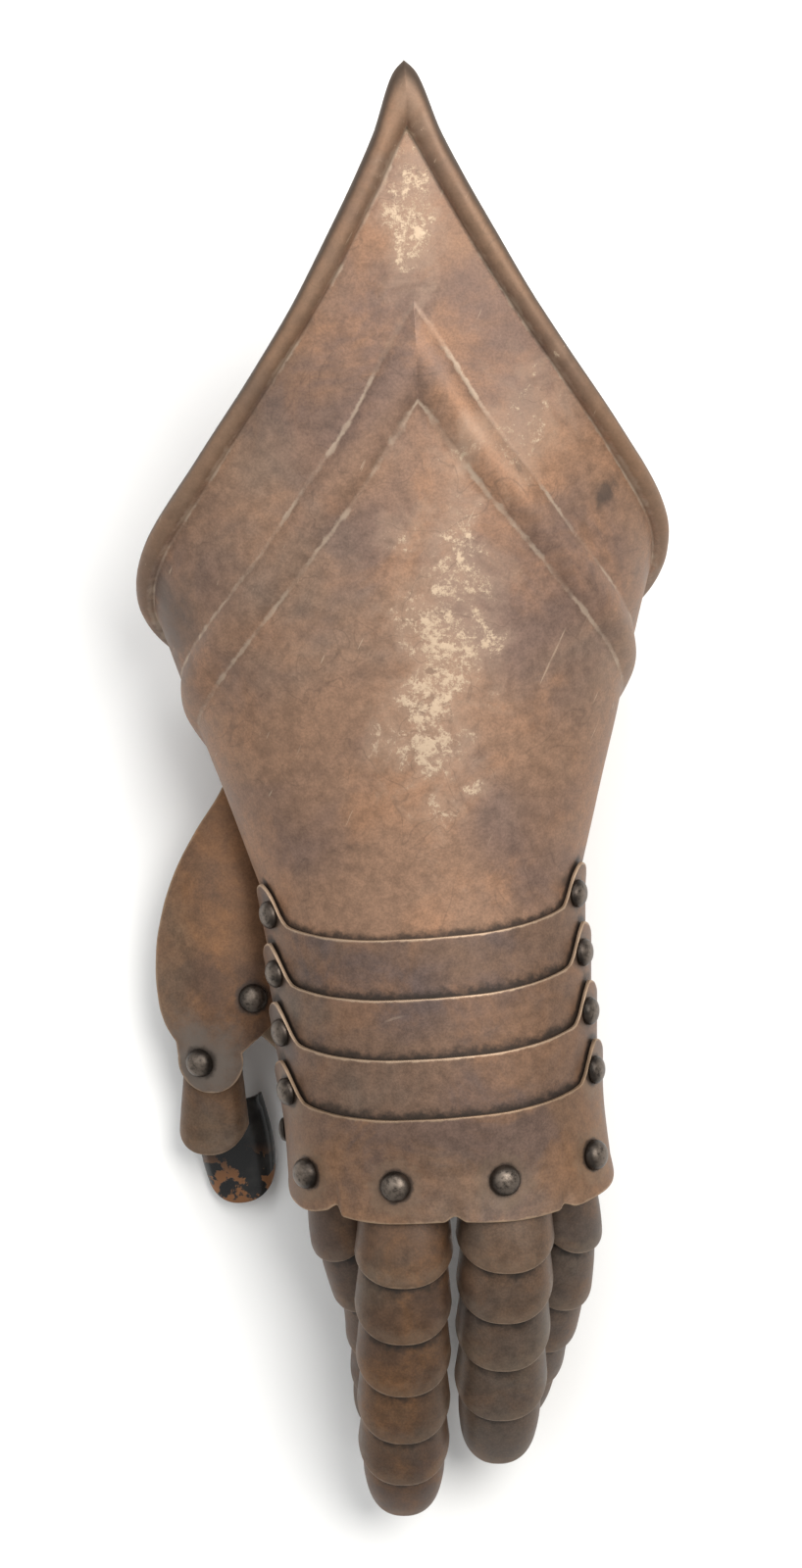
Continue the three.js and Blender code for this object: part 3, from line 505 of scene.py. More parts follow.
for patch in PATCHES:
    found = grouped(tree, rubbed_patch, [
        ("Place", place), ("Middle", patch["middle"]), ("Reach", patch["reach"]),
        ("Turn", patch["turn"]), ("Cover", patch["cover"]),
    ])
    dusty = maths(tree, "MULTIPLY", found["Field"], 0.7 * patch["cover"])
    colour = mixed(tree, dusty, colour, (0.4, 0.28, 0.2, 1))
    rub = found["Mask"] if rub is None else maths(tree, "MAXIMUM", rub, found["Mask"])
for stain in STAINS:
    found = grouped(tree, rubbed_patch, [
        ("Place", place), ("Middle", stain["middle"]), ("Reach", stain["reach"]),
        ("Turn", stain["turn"]), ("Cover", 0.9),
    ])
    darker = maths(tree, "MULTIPLY", found["Field"], stain["cover"])
    colour = mixed(tree, darker, colour, (0.055, 0.042, 0.034, 1))
colour = mixed(tree, maths(tree, "MULTIPLY", lines["Tide lines"], 0.28), colour, (0.07, 0.045, 0.033, 1))
crease = grouped(tree, line_band, [
    ("Place", place), ("Distance", mark(tree, "crease")), ("From", 0.15), ("To", 0.8), ("Ragged", 0.35),
])["Mask"]
broken = stepped(tree, blotches(tree, place, 70, 4, 0.6), 0.42, 0.6, 0.1, 0.7)
colour = mixed(tree, maths(tree, "MULTIPLY", crease, broken), colour, (0.4, 0.31, 0.23, 1))
crest = mark(tree, "crest")
on_roll = stepped(tree, crest, 1.02, 1.12)
shadow_side = stepped(tree, crest, 1.62, 1.9)
colour = mixed(tree, maths(tree, "MULTIPLY", on_roll, 0.5), colour, (0.17, 0.105, 0.062, 1))
colour = mixed(tree, maths(tree, "MULTIPLY", shadow_side, 0.8), colour, (0.04, 0.028, 0.02, 1))
# Painted shade with dirt: a near-black band on the cuff just above the upper edge of the first lame, which lies over
# it.
overlap_shade_and_dirt = grouped(tree, line_band, [
    ("Place", place), ("Distance", mark(tree, "cover")), ("From", 0.2), ("To", 3.0), ("Ragged", 1.0),
])["Mask"]
colour = mixed(tree, rub, colour, PALE_METAL)
colour = mixed(tree, maths(tree, "MULTIPLY", lines["Scratches"], 0.4), colour, PALE_METAL)
colour = mixed(tree, maths(tree, "MULTIPLY", brown["Pores"], 0.35), colour, (0.08, 0.05, 0.035, 1))
colour = mixed(tree, maths(tree, "MULTIPLY", overlap_shade_and_dirt, 0.85), colour, SHADE_AND_DIRT)
tree.links.new(colour, shader.inputs["Base Color"])
tree.links.new(stepped(tree, rub, 0, 1, 0.45, 0.75), shader.inputs["Metallic"])
tree.links.new(stepped(tree, brown["Mottle"], 0.3, 0.7, 0.5, 0.62), shader.inputs["Roughness"])
relief = maths(tree, "ADD", maths(tree, "MULTIPLY", rub, 0.4), maths(tree, "MULTIPLY", brown["Mottle"], 1.2))
relief = maths(tree, "SUBTRACT", relief, maths(tree, "MULTIPLY", brown["Pores"], 0.6))
set_relief(tree, shader, relief, 0.00006)

cuff_mesh = laid_grid(CUFF_COLUMNS, len(cuff_profile) - 1, cuff_place, WRIST_MARKS)
bmesh.ops.remove_doubles(cuff_mesh, verts=cuff_mesh.verts, dist=0.00001)
bmesh.ops.recalc_face_normals(cuff_mesh, faces=cuff_mesh.faces)
piece_of(cuff_mesh, "cuff_sheet", cuff_finish, "aged_copper", "cuff_body", "cuff")

# ---------------------------------------------------------------------------
# Wrist lames. Three bent strips of the same sheet, each tucked under the next towards the fingers.
# Their upper corners rise into ears that carry the rivets they turn on. Their upper edges are
# rubbed bright, and the plate beneath each upper edge is painted dark there: painted shade with dirt.
# ---------------------------------------------------------------------------

lame_finish, tree, shader, place = new_finish("lame copper")
brown = grouped(tree, aged_brown, [
    ("Place", place), ("Brown", (0.155, 0.092, 0.06, 1)), ("Orange", (0.2, 0.107, 0.06, 1)),
    ("Plum", (0.11, 0.074, 0.062, 1)), ("Grey", (0.115, 0.093, 0.074, 1)), ("Zones", 26.0),
])
lines = grouped(tree, fine_lines, [("Place", place), ("Scratch turn", 1.4)])
colour = mixed(tree, maths(tree, "MULTIPLY", lines["Scratches"], 0.25), brown["Colour"], (0.4, 0.3, 0.22, 1))
halo = grouped(tree, line_band, [
    ("Place", place), ("Distance", mark(tree, "rivet")), ("From", 4.2), ("To", 6.5), ("Ragged", 0.8),
])["Mask"]
colour = mixed(tree, maths(tree, "MULTIPLY", halo, 0.6), colour, (0.075, 0.055, 0.042, 1))
# Painted shade with dirt: a near-black band on each lame just above the edge of the next plate, which lies over it.
overlap_shade_and_dirt = grouped(tree, line_band, [
    ("Place", place), ("Distance", mark(tree, "cover")), ("From", 0.3), ("To", 3.6), ("Ragged", 1.2),
])["Mask"]
colour = mixed(tree, maths(tree, "MULTIPLY", overlap_shade_and_dirt, 0.9), colour, SHADE_AND_DIRT)
worn = grouped(tree, line_band, [
    ("Place", place), ("Distance", mark(tree, "edge")), ("From", 0.15), ("To", 0.75), ("Ragged", 0.3),
])["Mask"]
colour = mixed(tree, maths(tree, "MULTIPLY", worn, 0.75), colour, (0.45, 0.33, 0.23, 1))
tree.links.new(colour, shader.inputs["Base Color"])
tree.links.new(stepped(tree, worn, 0, 1, 0.45, 0.8), shader.inputs["Metallic"])
tree.links.new(stepped(tree, brown["Mottle"], 0.3, 0.7, 0.46, 0.58), shader.inputs["Roughness"])
set_relief(tree, shader, brown["Mottle"], 0.00006)

for j in (1, 2, 3):

    def lame_place(around, down):
        w = 2 * around - 1
        angle = 106 * w
        a = abs(angle)
        top = PIVOTS[j - 1] + lame_upper(a)
        low = PIVOTS[j - 1] + lame_lower(a)
        y = top + (low - top) * down
        point = hand_point(y, angle, lame_offset(j, y))
        cover = y - (PIVOTS[j] + lame_upper(a))
        near = nearest(point, wrist_spots[j])
        return point, (min(top - y, y - low), cover, 10.0, 0.0, near)

    lame = laid_grid(260, 26, lame_place, WRIST_MARKS)
    bmesh.ops.recalc_face_normals(lame, faces=lame.faces)
    if lame.faces[0].normal.dot(lame.faces[0].calc_center_median() - Vector((0, 0, AXIS_HEIGHT * MM))) < 0:
        bmesh.ops.reverse_faces(lame, faces=lame.faces)
    lame = piece_of(lame, f"lame_{j}_sheet", lame_finish, "aged_copper", f"lame_{j}_body", f"wrist_lame_{j}")
    give_thickness(lame, SHEET, 0.25)

# ---------------------------------------------------------------------------
# Knuckle plate. One piece over the back of the hand, with ears like the lames' at its upper
# corners. Its lower edge is cut to a shallow lobe over each finger, with a dent between the lobes.
# ---------------------------------------------------------------------------

KNUCKLE_EDGE = [
    dict(angle=-106, y=-104),
    dict(angle=-95, y=-110.5),
    dict(angle=-87, y=-115),
    dict(angle=-74, y=-119.4),
    dict(angle=-58, y=-121.8),
    dict(angle=-49, y=-121.3),
    dict(angle=-45, y=-119.9),
    dict(angle=-41, y=-123.2),
    dict(angle=-21, y=-125.6),
    dict(angle=-4, y=-125.8),
    dict(angle=0, y=-124.4),
    dict(angle=4, y=-126.2),
    dict(angle=20, y=-127),
    dict(angle=38, y=-125.6),
    dict(angle=42, y=-124),
    dict(angle=46, y=-124.9),
    dict(angle=57, y=-123.6),
    dict(angle=74, y=-121),
    dict(angle=87, y=-117.4),
    dict(angle=95, y=-112.5),
    dict(angle=106, y=-105),
]
KNUCKLE_GROOVES = (-45, 0, 42)
GROOVE_DEPTH = 0.9
GROOVE_HALF_ANGLE = 4
GROOVE_LENGTH = 9
FINGERS = [
    dict(name="index", angle=-60, y=-110.7, aside=-1, under=2.2, half=11.5, depth=11, scales=[
        dict(length=30, slope=17, heading=7, roll=-42),
        dict(length=19.8, slope=25, heading=22, roll=-36),
        dict(length=20, slope=31, heading=10, roll=-28),
        dict(length=17.5, slope=35, heading=6, roll=-18),
        dict(length=15, slope=37, heading=14, roll=-10),
        dict(length=15.5, slope=37, heading=21, roll=-5),
    ]),
    dict(name="middle", angle=-19.5, y=-114.6, aside=1.7, under=1.1, half=14, depth=12, scales=[
        dict(length=30.3, slope=3, heading=-3.7, roll=-2),
        dict(length=18, slope=18, heading=-3.7, roll=0),
        dict(length=18, slope=24, heading=-3.7, roll=0),
        dict(length=18, slope=30, heading=-3.7, roll=0),
        dict(length=18, slope=36, heading=-3.7, roll=0),
        dict(length=19.5, slope=46, heading=-3.7, roll=0),
    ]),
    dict(name="ring", angle=18.5, y=-114.9, aside=1.4, under=1.1, half=14, depth=12, scales=[
        dict(length=28, slope=4, heading=-5, roll=2),
        dict(length=17.2, slope=25, heading=-5, roll=0),
        dict(length=17.8, slope=30, heading=-5, roll=0),
        dict(length=20, slope=33, heading=-5, roll=0),
        dict(length=23, slope=42, heading=-5, roll=0),
    ]),
    dict(name="little", angle=61.5, y=-111.3, aside=1, under=2.2, half=11.2, depth=11, scales=[
        dict(length=31.5, slope=16, heading=-3, roll=45),
        dict(length=22, slope=27, heading=-20, roll=36),
        dict(length=19.4, slope=36, heading=-27, roll=26),
        dict(length=18.6, slope=41, heading=-21, roll=16),
        dict(length=18.5, slope=45, heading=-14, roll=8),
    ]),
]
knuckle_edge = curve_through(KNUCKLE_EDGE, "angle", "y")


def knuckle_surface(angle, y):
    reach = clamp((knuckle_edge(angle) + GROOVE_LENGTH - y) / GROOVE_LENGTH)
    near = max(max(0.0, 1 - abs(angle - groove) / GROOVE_HALF_ANGLE) for groove in KNUCKLE_GROOVES)
    taper = LAME_TAPER * max(y - PIVOTS[3] - LAME_EDGES[0]["upper"], -LAME_PITCH)
    return hand_point(y, angle, LAME_LIFT + taper - GROOVE_DEPTH * ease(near) * ease(reach))


knuckle_spots = {row["name"]: spot_on(knuckle_surface, row["angle"], row["y"]) for row in FINGERS}
plate_spots = list(knuckle_spots.values()) + wrist_spots[4]


def knuckle_place(around, down):
    angle = 106 * (2 * around - 1)
    top = PIVOTS[3] + lame_upper(abs(angle))
    low = knuckle_edge(angle)
    y = top + (low - top) * down
    point = knuckle_surface(angle, y)
    return point, (min(top - y, y - low), 20.0, y - low, 0.0, nearest(point, plate_spots))


knuckle_finish, tree, shader, place = new_finish("knuckle plate copper")
brown = grouped(tree, aged_brown, [
    ("Place", place), ("Brown", (0.165, 0.094, 0.056, 1)), ("Orange", (0.22, 0.115, 0.058, 1)),
    ("Plum", (0.128, 0.08, 0.06, 1)), ("Grey", (0.142, 0.11, 0.084, 1)), ("Zones", 21.0),
])
lines = grouped(tree, fine_lines, [("Place", place), ("Scratch turn", 0.9)])
colour = mixed(tree, maths(tree, "MULTIPLY", lines["Scratches"], 0.25), brown["Colour"], (0.4, 0.3, 0.22, 1))
halo = grouped(tree, line_band, [
    ("Place", place), ("Distance", mark(tree, "rivet")), ("From", 6.0), ("To", 10.0), ("Ragged", 2.0),
])["Mask"]
colour = mixed(tree, maths(tree, "MULTIPLY", halo, 0.3), colour, (0.21, 0.15, 0.1, 1))
ring = grouped(tree, line_band, [
    ("Place", place), ("Distance", mark(tree, "rivet")), ("From", 4.5), ("To", 5.6), ("Ragged", 0.5),
])["Mask"]
colour = mixed(tree, maths(tree, "MULTIPLY", ring, 0.9), colour, (0.05, 0.034, 0.025, 1))
worn = grouped(tree, line_band, [
    ("Place", place), ("Distance", mark(tree, "edge")), ("From", 0.15), ("To", 0.75), ("Ragged", 0.3),
])["Mask"]
colour = mixed(tree, maths(tree, "MULTIPLY", worn, 0.6), colour, (0.42, 0.3, 0.2, 1))
tree.links.new(colour, shader.inputs["Base Color"])
tree.links.new(stepped(tree, worn, 0, 1, 0.45, 0.8), shader.inputs["Metallic"])
tree.links.new(stepped(tree, brown["Mottle"], 0.3, 0.7, 0.46, 0.58), shader.inputs["Roughness"])
set_relief(tree, shader, brown["Mottle"], 0.00006)


def outward(mesh, middle):
    """Turns a sheet's faces away from a point inside it."""
    bmesh.ops.recalc_face_normals(mesh, faces=mesh.faces)
    if sum(face.normal.dot(face.calc_center_median() - middle) for face in mesh.faces) < 0:
        bmesh.ops.reverse_faces(mesh, faces=mesh.faces)


knuckle_mesh = laid_grid(300, 46, knuckle_place, WRIST_MARKS)
outward(knuckle_mesh, Vector((0, -0.09, AXIS_HEIGHT * MM)))
knuckle_sheet = piece_of(
    knuckle_mesh, "knuckle_sheet", knuckle_finish, "aged_copper", "hand_body", "knuckle_plate"
)
give_thickness(knuckle_sheet, SHEET, 0.25)

# ---------------------------------------------------------------------------
# Rivets. Turned iron with domed heads, gone dark. The bright top is partly wear and partly a painted
# highlight, and the head's foot has painted shade with dirt. Each goes through its plates to a flat
# tail inside. Here a head and its tail are one piece, and the hole hides between.
# ---------------------------------------------------------------------------

HEAD_GAP = 0.72
WRIST_RIVET = dict(head=4.1, dome=2.3)
KNUCKLE_RIVET = dict(head=4.5, dome=3.3)
THUMB_RIVET = dict(head=4.4, dome=3.4)
FLAT_RIVET = dict(head=3.6, dome=1.6)
SHANK = 1.6
TAIL = dict(radius=2.8, thick=0.9, gap=0.5)

rivet_finish, tree, shader, place = new_finish("rivet iron")
crumb = blotches(tree, place, 700, 6, 0.7)
cloud = blotches(tree, place, 180, 3, 0.6)
dark = mixed(tree, stepped(tree, cloud, 0.35, 0.65), (0.022, 0.018, 0.015, 1), (0.06, 0.047, 0.038, 1))
# The pale crown is partly wear and partly a painted highlight on the top of the dome.
crown = maths(tree, "MULTIPLY", stepped(tree, mark(tree, "crown"), 0.45, 1.0), stepped(tree, crumb, 0.3, 0.6))
colour = mixed(tree, maths(tree, "MULTIPLY", crown, 0.6), dark, (0.26, 0.21, 0.17, 1))
# Painted shade with dirt: the foot of each head, where it meets the plate, is darkened.
colour = mixed(tree, stepped(tree, mark(tree, "crown"), 0.0, 0.22, 0.8, 0.0), colour, SHADE_AND_DIRT)
tree.links.new(colour, shader.inputs["Base Color"])
shader.inputs["Metallic"].default_value = 0.85
tree.links.new(stepped(tree, crumb, 0.3, 0.7, 0.3, 0.5), shader.inputs["Roughness"])
set_relief(tree, shader, crumb, 0.00008)


def add_rivet(name, spot, shape, stack, body):
    point, normal = spot
    head, top = shape["head"], HEAD_GAP + shape["dome"]
    foot = 0.15
    arc = [math.radians(a) for a in range(0, 91, 9)]
    dome = [(head * math.cos(a) ** 0.9 if a < 1.57 else 0.0, foot + 0.5 + (top - foot - 0.5) * math.sin(a)) for a in arc]
    tail = -stack - TAIL["gap"]
    profiles = [
        [(0.0, foot), (head - 0.35, foot), (head, foot + 0.2)] + dome,
        [(0.0, tail - TAIL["thick"]), (TAIL["radius"] - 0.2, tail - TAIL["thick"]),
         (TAIL["radius"], tail - TAIL["thick"] + 0.2), (TAIL["radius"], tail), (SHANK, tail + 0.3), (0.0, tail + 0.3)],
    ]
    mesh = bmesh.new()
    layer = mesh.verts.layers.float.new("crown")
    for profile in profiles:
        corners = [mesh.verts.new((r, 0, z)) for r, z in profile]
        edges = [mesh.edges.new(pair) for pair in zip(corners, corners[1:])]
        bmesh.ops.spin(
            mesh, geom=corners + edges, cent=(0, 0, 0), axis=(0, 0, 1), dvec=(0, 0, 0),
            angle=2 * math.pi, steps=36, use_merge=True,
        )
    bmesh.ops.remove_doubles(mesh, verts=mesh.verts, dist=0.001)
    bmesh.ops.recalc_face_normals(mesh, faces=mesh.faces)
    for corner in mesh.verts:
        corner[layer] = clamp((corner.co.z - foot) / (top - foot))
    turned = Vector((0, 0, 1)).rotation_difference(normal).to_matrix().to_4x4()
    placed = Matrix.Scale(MM, 4) @ Matrix.Translation(point - FOOTPRINT_MIDDLE) @ turned
    bmesh.ops.transform(mesh, matrix=placed, verts=mesh.verts)
    piece_of(mesh, f"{name}_turned", rivet_finish, "rivet_iron", body, name)


BODY_OF_PLATE = {1: "lame_1_body", 2: "lame_2_body", 3: "lame_3_body", 4: "hand_body"}
for j, spots in wrist_spots.items():
    for side, spot in zip(("thumb", "little"), spots):
        add_rivet(f"wrist_rivet_{j}_{side}_side", spot, WRIST_RIVET, 2 * SHEET + LAME_GAP, BODY_OF_PLATE[j])

# ---------------------------------------------------------------------------
# Fingers. Each is a row of bent scales laid like roof tiles, the first riveted under the knuckle
# plate, all of them on a leather strap that runs down inside. Below every free edge the scale
# beneath is painted dark: painted shade with dirt.
# ---------------------------------------------------------------------------

FINGER_TAPER = 0.0007
SCALE_SHEET = 0.9
SCALE_GAP = 0.55
SCALE_TAPER = (SCALE_SHEET + SCALE_GAP) / 14
SCALE_REACH = 24
SCALE_LIFT = 0.6
SCALE_OVERLAP = 5
SCALE_TONGUE = 8.5
TIP_TONGUE = 10
SCALE_SQUARENESS = 2.3
TIP_CLOSING = 0.14
STRAP_THICK = 2
STRAP_HALF = 4.6
STRAP_DEPTH = 5.2
STRAP_SLACK = 1.6


class Spine:
    """A finger's ridge, bending smoothly from scale to scale, with its directions at each point."""

    STEP = 0.5

    def __init__(self, root, scales):
        middles = []
        reached = 0.0
        for scale in scales:
            middles.append(dict(scale, at=reached + scale["length"] / 2))
            reached += scale["length"]
        self.slope = curve_through(middles, "at", "slope")
        self.heading = curve_through(middles, "at", "heading")
        self.roll = curve_through(middles, "at", "roll")
        self.root = root
        self.points = [root.copy()]
        s = 0.0
        while s < reached + 2:
            self.points.append(self.points[-1] + self.directions(s + self.STEP / 2)[0] * self.STEP)
            s += self.STEP

    def directions(self, s):
        down, aside, turn = (math.radians(curve(s)) for curve in (self.slope, self.heading, self.roll))
        forward = Vector((math.sin(aside) * math.cos(down), -math.cos(aside) * math.cos(down), -math.sin(down)))
        level = Vector((math.cos(aside), math.sin(aside), 0))
        upright = forward.cross(level)
        across = level * math.cos(turn) - upright * math.sin(turn)
        up = upright * math.cos(turn) + level * math.sin(turn)
        return forward, across, up

    def at(self, s):
        forward, across, up = self.directions(s)
        if s <= 0:
            return self.root + self.directions(0)[0] * s, across, up
        i = min(int(s / self.STEP), len(self.points) - 2)
        return self.points[i].lerp(self.points[i + 1], s / self.STEP - i), across, up


def finger_point(finger, s, psi, offset, shrink=1.0):
    """A point on a finger's half tube: psi degrees round from the ridge, s along it."""
    ridge, across, up = finger["spine"].at(s)
    power = 2 / SCALE_SQUARENESS
    sine = math.sin(math.radians(psi))
    side = math.copysign(abs(sine) ** power, sine)
    rise = max(0.0, math.cos(math.radians(psi))) ** power
    half = finger["half"] * (1 - FINGER_TAPER * s) + offset
    depth = finger["depth"]
    return ridge + across * (half * side * shrink) + up * ((depth + offset) * rise * shrink - depth)


def tongue(psi, size):
    return size * (1 - math.cos(math.radians(psi)))


SCALE_MARKS = ["edge", "cover", "free", "rivet"]


def add_scale(name, finger, start, length, finish, slot, body, is_tip=False, overlap=SCALE_OVERLAP,
              notch=SCALE_TONGUE, spots=()):
    """One bent tongue of sheet, its free end standing over the scale that follows."""

    def place(around, down):
        w = 2 * around - 1
        psi = 90 * math.copysign(1 - (1 - abs(w)) ** 1.15, w)
        begin = start - overlap - tongue(psi, notch)
        end = start + length - tongue(psi, TIP_TONGUE if is_tip else SCALE_TONGUE)
        s = begin + (end - begin) * down
        covered = max(start + length - s - tongue(psi, SCALE_TONGUE), 0)
        shrink = 1 - TIP_CLOSING * max(0.0, (down - 0.4) / 0.6) ** 2 if is_tip else 1.0
        sunk = SCALE_TAPER * min(covered, SCALE_REACH)
        point = finger_point(finger, s, psi, SCALE_LIFT - sunk, shrink)
        side = (1 - abs(w)) * finger["half"] * 1.4
        near = nearest(point, spots) if spots else 20.0
        return point, (min(end - s, side), s - (start - tongue(psi, SCALE_TONGUE)), end - s, near)

    mesh = laid_grid(56, 26 if is_tip else 22, place, SCALE_MARKS)
    outward(mesh, (finger["spine"].at(start + length / 2)[0]
                   - finger["spine"].at(start + length / 2)[2] * finger["depth"] - FOOTPRINT_MIDDLE) * MM)
    scale = piece_of(mesh, f"{name}_sheet", finish, slot, body, name)
    return give_thickness(scale, SCALE_SHEET, 0.22)


def scale_finish_of(name, brown_tone, orange, plum, grey, zones):
    """The scales' brown, with painted shade and dirt where the scale before covers it, and a dusty rubbed free edge.
    """
    finish, tree, shader, place = new_finish(name)
    brown = grouped(tree, aged_brown, [
        ("Place", place), ("Brown", brown_tone), ("Orange", orange), ("Plum", plum), ("Grey", grey), ("Zones", zones),
    ])
    colour = brown["Colour"]
    dust = grouped(tree, line_band, [
        ("Place", place), ("Distance", mark(tree, "free")), ("From", 0.5), ("To", 6.0), ("Ragged", 2.0),
    ])["Mask"]
    colour = mixed(tree, maths(tree, "MULTIPLY", dust, 0.22), colour, (0.23, 0.17, 0.12, 1))
    # Painted shade with dirt: a near-black band just below the free edge of the scale or plate that lies over this
    # one.
    overlap_shade_and_dirt = grouped(tree, line_band, [
        ("Place", place), ("Distance", mark(tree, "cover")), ("From", 0.3), ("To", 4.6), ("Ragged", 1.6),
    ])["Mask"]
    colour = mixed(tree, maths(tree, "MULTIPLY", overlap_shade_and_dirt, 0.92), colour, SHADE_AND_DIRT)
    worn = grouped(tree, line_band, [
        ("Place", place), ("Distance", mark(tree, "edge")), ("From", 0.1), ("To", 0.6), ("Ragged", 0.3),
    ])["Mask"]
    colour = mixed(tree, maths(tree, "MULTIPLY", worn, 0.4), colour, (0.3, 0.21, 0.14, 1))
    tree.links.new(colour, shader.inputs["Base Color"])
    shader.inputs["Metallic"].default_value = 0.45
    tree.links.new(stepped(tree, brown["Mottle"], 0.3, 0.7, 0.42, 0.56), shader.inputs["Roughness"])
    set_relief(tree, shader, brown["Mottle"], 0.00006)
    return finish


warm_scales = scale_finish_of(
    "index and middle scale copper", (0.092, 0.05, 0.028, 1), (0.15, 0.072, 0.03, 1),
    (0.078, 0.047, 0.033, 1), (0.09, 0.068, 0.048, 1), 34.0,
)
dull_scales = scale_finish_of(
    "ring and little scale copper", (0.105, 0.066, 0.043, 1), (0.135, 0.075, 0.042, 1),
    (0.085, 0.06, 0.046, 1), (0.1, 0.082, 0.062, 1), 34.0,
)

strap_finish, tree, shader, place = new_finish("strap leather")
grain = put(tree, "TexVoronoi", [("Vector", place), ("Scale", 900.0)], feature="DISTANCE_TO_EDGE").outputs[0]
stain = blotches(tree, place, 60, 4, 0.6)
colour = mixed(tree, stepped(tree, stain, 0.3, 0.7), (0.05, 0.028, 0.016, 1), (0.11, 0.062, 0.034, 1))
tree.links.new(colour, shader.inputs["Base Color"])
tree.links.new(stepped(tree, stain, 0.3, 0.7, 0.65, 0.8), shader.inputs["Roughness"])
set_relief(tree, shader, stepped(tree, grain, 0.0, 0.3), 0.00015)


def add_strip(name, stations, half, depth, thick, finish, slot, body):
    """A flat strip laid under a run of stations, each a point with its directions across and up."""
    count = len(stations) - 1

    def place(around, down):
        k = min(int(down * count), count - 1)
        t = down * count - k
        (p, across, up), (q, next_across, next_up) = stations[k], stations[k + 1]
        side = across.lerp(next_across, t).normalized()
        top = up.lerp(next_up, t).normalized()
        return p.lerp(q, t) + side * (2 * around - 1) * half - top * depth, ()

    mesh = laid_grid(8, count * 2, place, [])
    bmesh.ops.recalc_face_normals(mesh, faces=mesh.faces)
    ups = sum((face.normal.dot(stations[count // 2][2]) for face in mesh.faces), 0.0)
    if ups < 0:
        bmesh.ops.reverse_faces(mesh, faces=mesh.faces)
    strip = piece_of(mesh, f"{name}_cut", finish, slot, body, name)
    return give_thickness(strip, thick, 0.35)


for row in FINGERS:
    finger_name = row["name"]
    knuckle_spot = knuckle_spots[finger_name]
    tilt = math.radians(row["scales"][0]["roll"])
    root = knuckle_spot[0] - knuckle_spot[1] * row["under"]
    root = root + Vector((math.cos(tilt), 0, -math.sin(tilt))) * row["aside"]
    finger = dict(row, spine=Spine(root, row["scales"]))
    finish = warm_scales if finger_name in ("index", "middle") else dull_scales
    start = 0.0
    for i, scale in enumerate(row["scales"]):
        is_tip = i == len(row["scales"]) - 1
        add_scale(f"{finger_name}_scale_{i + 1}", finger, start, scale["length"], finish,
                  "aged_copper", "hand_body", is_tip)
        start += scale["length"]
    steps = 24
    stations = [finger["spine"].at(-6 + (start - 8) * k / steps) for k in range(steps + 1)]
    add_strip(f"{finger_name}_strap", stations, STRAP_HALF, STRAP_DEPTH, STRAP_THICK, strap_finish,
              "strap_leather", "hand_body")
    stack = row["under"] + STRAP_DEPTH + STRAP_THICK + STRAP_SLACK
    add_rivet(f"knuckle_rivet_{finger_name}", knuckle_spot, KNUCKLE_RIVET, stack, "hand_body")

# ---------------------------------------------------------------------------
# Thumb. A long leaf-shaped plate with a round lobe swings on a rivet beside the wrist. A short
# scale hangs from the lobe's rivet, with a black-lacquered scale below it over the thumb's end.
# ---------------------------------------------------------------------------

LEAF = [
    dict(y=6, outer=-56.5, inner=-55.3),
    dict(y=0, outer=-60, inner=-54.6),
    dict(y=-10, outer=-67.3, inner=-52.2),
    dict(y=-22, outer=-74.5, inner=-48.7),
    dict(y=-33, outer=-79, inner=-46.7),
    dict(y=-45, outer=-81.9, inner=-45.6),
    dict(y=-54, outer=-82.6, inner=-45),
    dict(y=-62, outer=-82.1, inner=-45),
    dict(y=-67.5, outer=-80.7, inner=-46.3),
    dict(y=-71, outer=-79, inner=-49.2),
    dict(y=-73.5, outer=-77.6, inner=-52.6),
    dict(y=-77.4, outer=-77.4, inner=-57.4),
]
LOBE = dict(x=-67.4, y=-79.2, radius=10.1)
LEAF_CREST = -57
LEAF_BULGE = 0.02
LEAF_RIDGE = [
    dict(y=-92, height=25.5),
    dict(y=-80, height=29),
    dict(y=-60, height=33),
    dict(y=-30, height=31.5),
    dict(y=8, height=22.5),
]
LEAF_RIVET = dict(x=-52.9, y=-60.9)
LOBE_RIVET = dict(x=-70.3, y=-79.6)
THUMB_SCALE = dict(root=Vector((-69.5, -76, 25.2)), half=10.8, depth=8,
                   scales=[dict(length=33, slope=11, heading=-3, roll=-20)])
THUMB_TIP = dict(root=Vector((-64.6, -94, 15.2)), half=12.4, depth=8,
                 scales=[dict(length=32.5, slope=13, heading=6, roll=-6)])
HANGER_RIVET = dict(angle=-97, y=-100)
HANGER_BEND = [
    dict(at=(-40.2, -91, 37), facing=(-0.95, 0, 0.3)),
    dict(at=(-39.5, -82, 31), facing=(-0.6, 0, 0.8)),
    dict(at=(-44.5, -74, 23.6), facing=(0.1, -0.25, 1)),
]
HANGER_HALF = 4.5
HANGER_THICK = 1.2
HANGER_GAP = 1.6

leaf_ridge = curve_through(LEAF_RIDGE, "y", "height")
falling = list(reversed(LEAF))
leaf_outer = curve_through(falling, "y", "outer")
leaf_inner = curve_through(falling, "y", "inner")


def leaf_surface(x, y):
    return Vector((x, y, leaf_ridge(y) - LEAF_BULGE * (x - LEAF_CREST) ** 2))


leaf_rivet = spot_on(leaf_surface, LEAF_RIVET["x"], LEAF_RIVET["y"])
lobe_rivet = spot_on(leaf_surface, LOBE_RIVET["x"], LOBE_RIVET["y"])
LEAF_MARKS = ["edge", "cover", "rivet", "lobe"]


def leaf_place(across, down):
    top, bottom = LEAF[0]["y"], LOBE["y"] - LOBE["radius"]
    y = bottom + (top - bottom) * (1 - down) ** 1.3 if down > 0 else top
    y = max(y, bottom)
    if y >= LEAF[-1]["y"]:
        outer, inner = leaf_outer(y), leaf_inner(y)
    else:
        half = math.sqrt(max(0.0, LOBE["radius"] ** 2 - (y - LOBE["y"]) ** 2))
        outer, inner = LOBE["x"] - half, LOBE["x"] + half
    x = outer + (inner - outer) * across
    point = leaf_surface(x, y)
    edge = min(x - outer, inner - x, y - bottom, top - y)
    near = (point - leaf_rivet[0]).length
    return point, (edge, x + 83 + 0.3 * y, near, (point - lobe_rivet[0]).length)


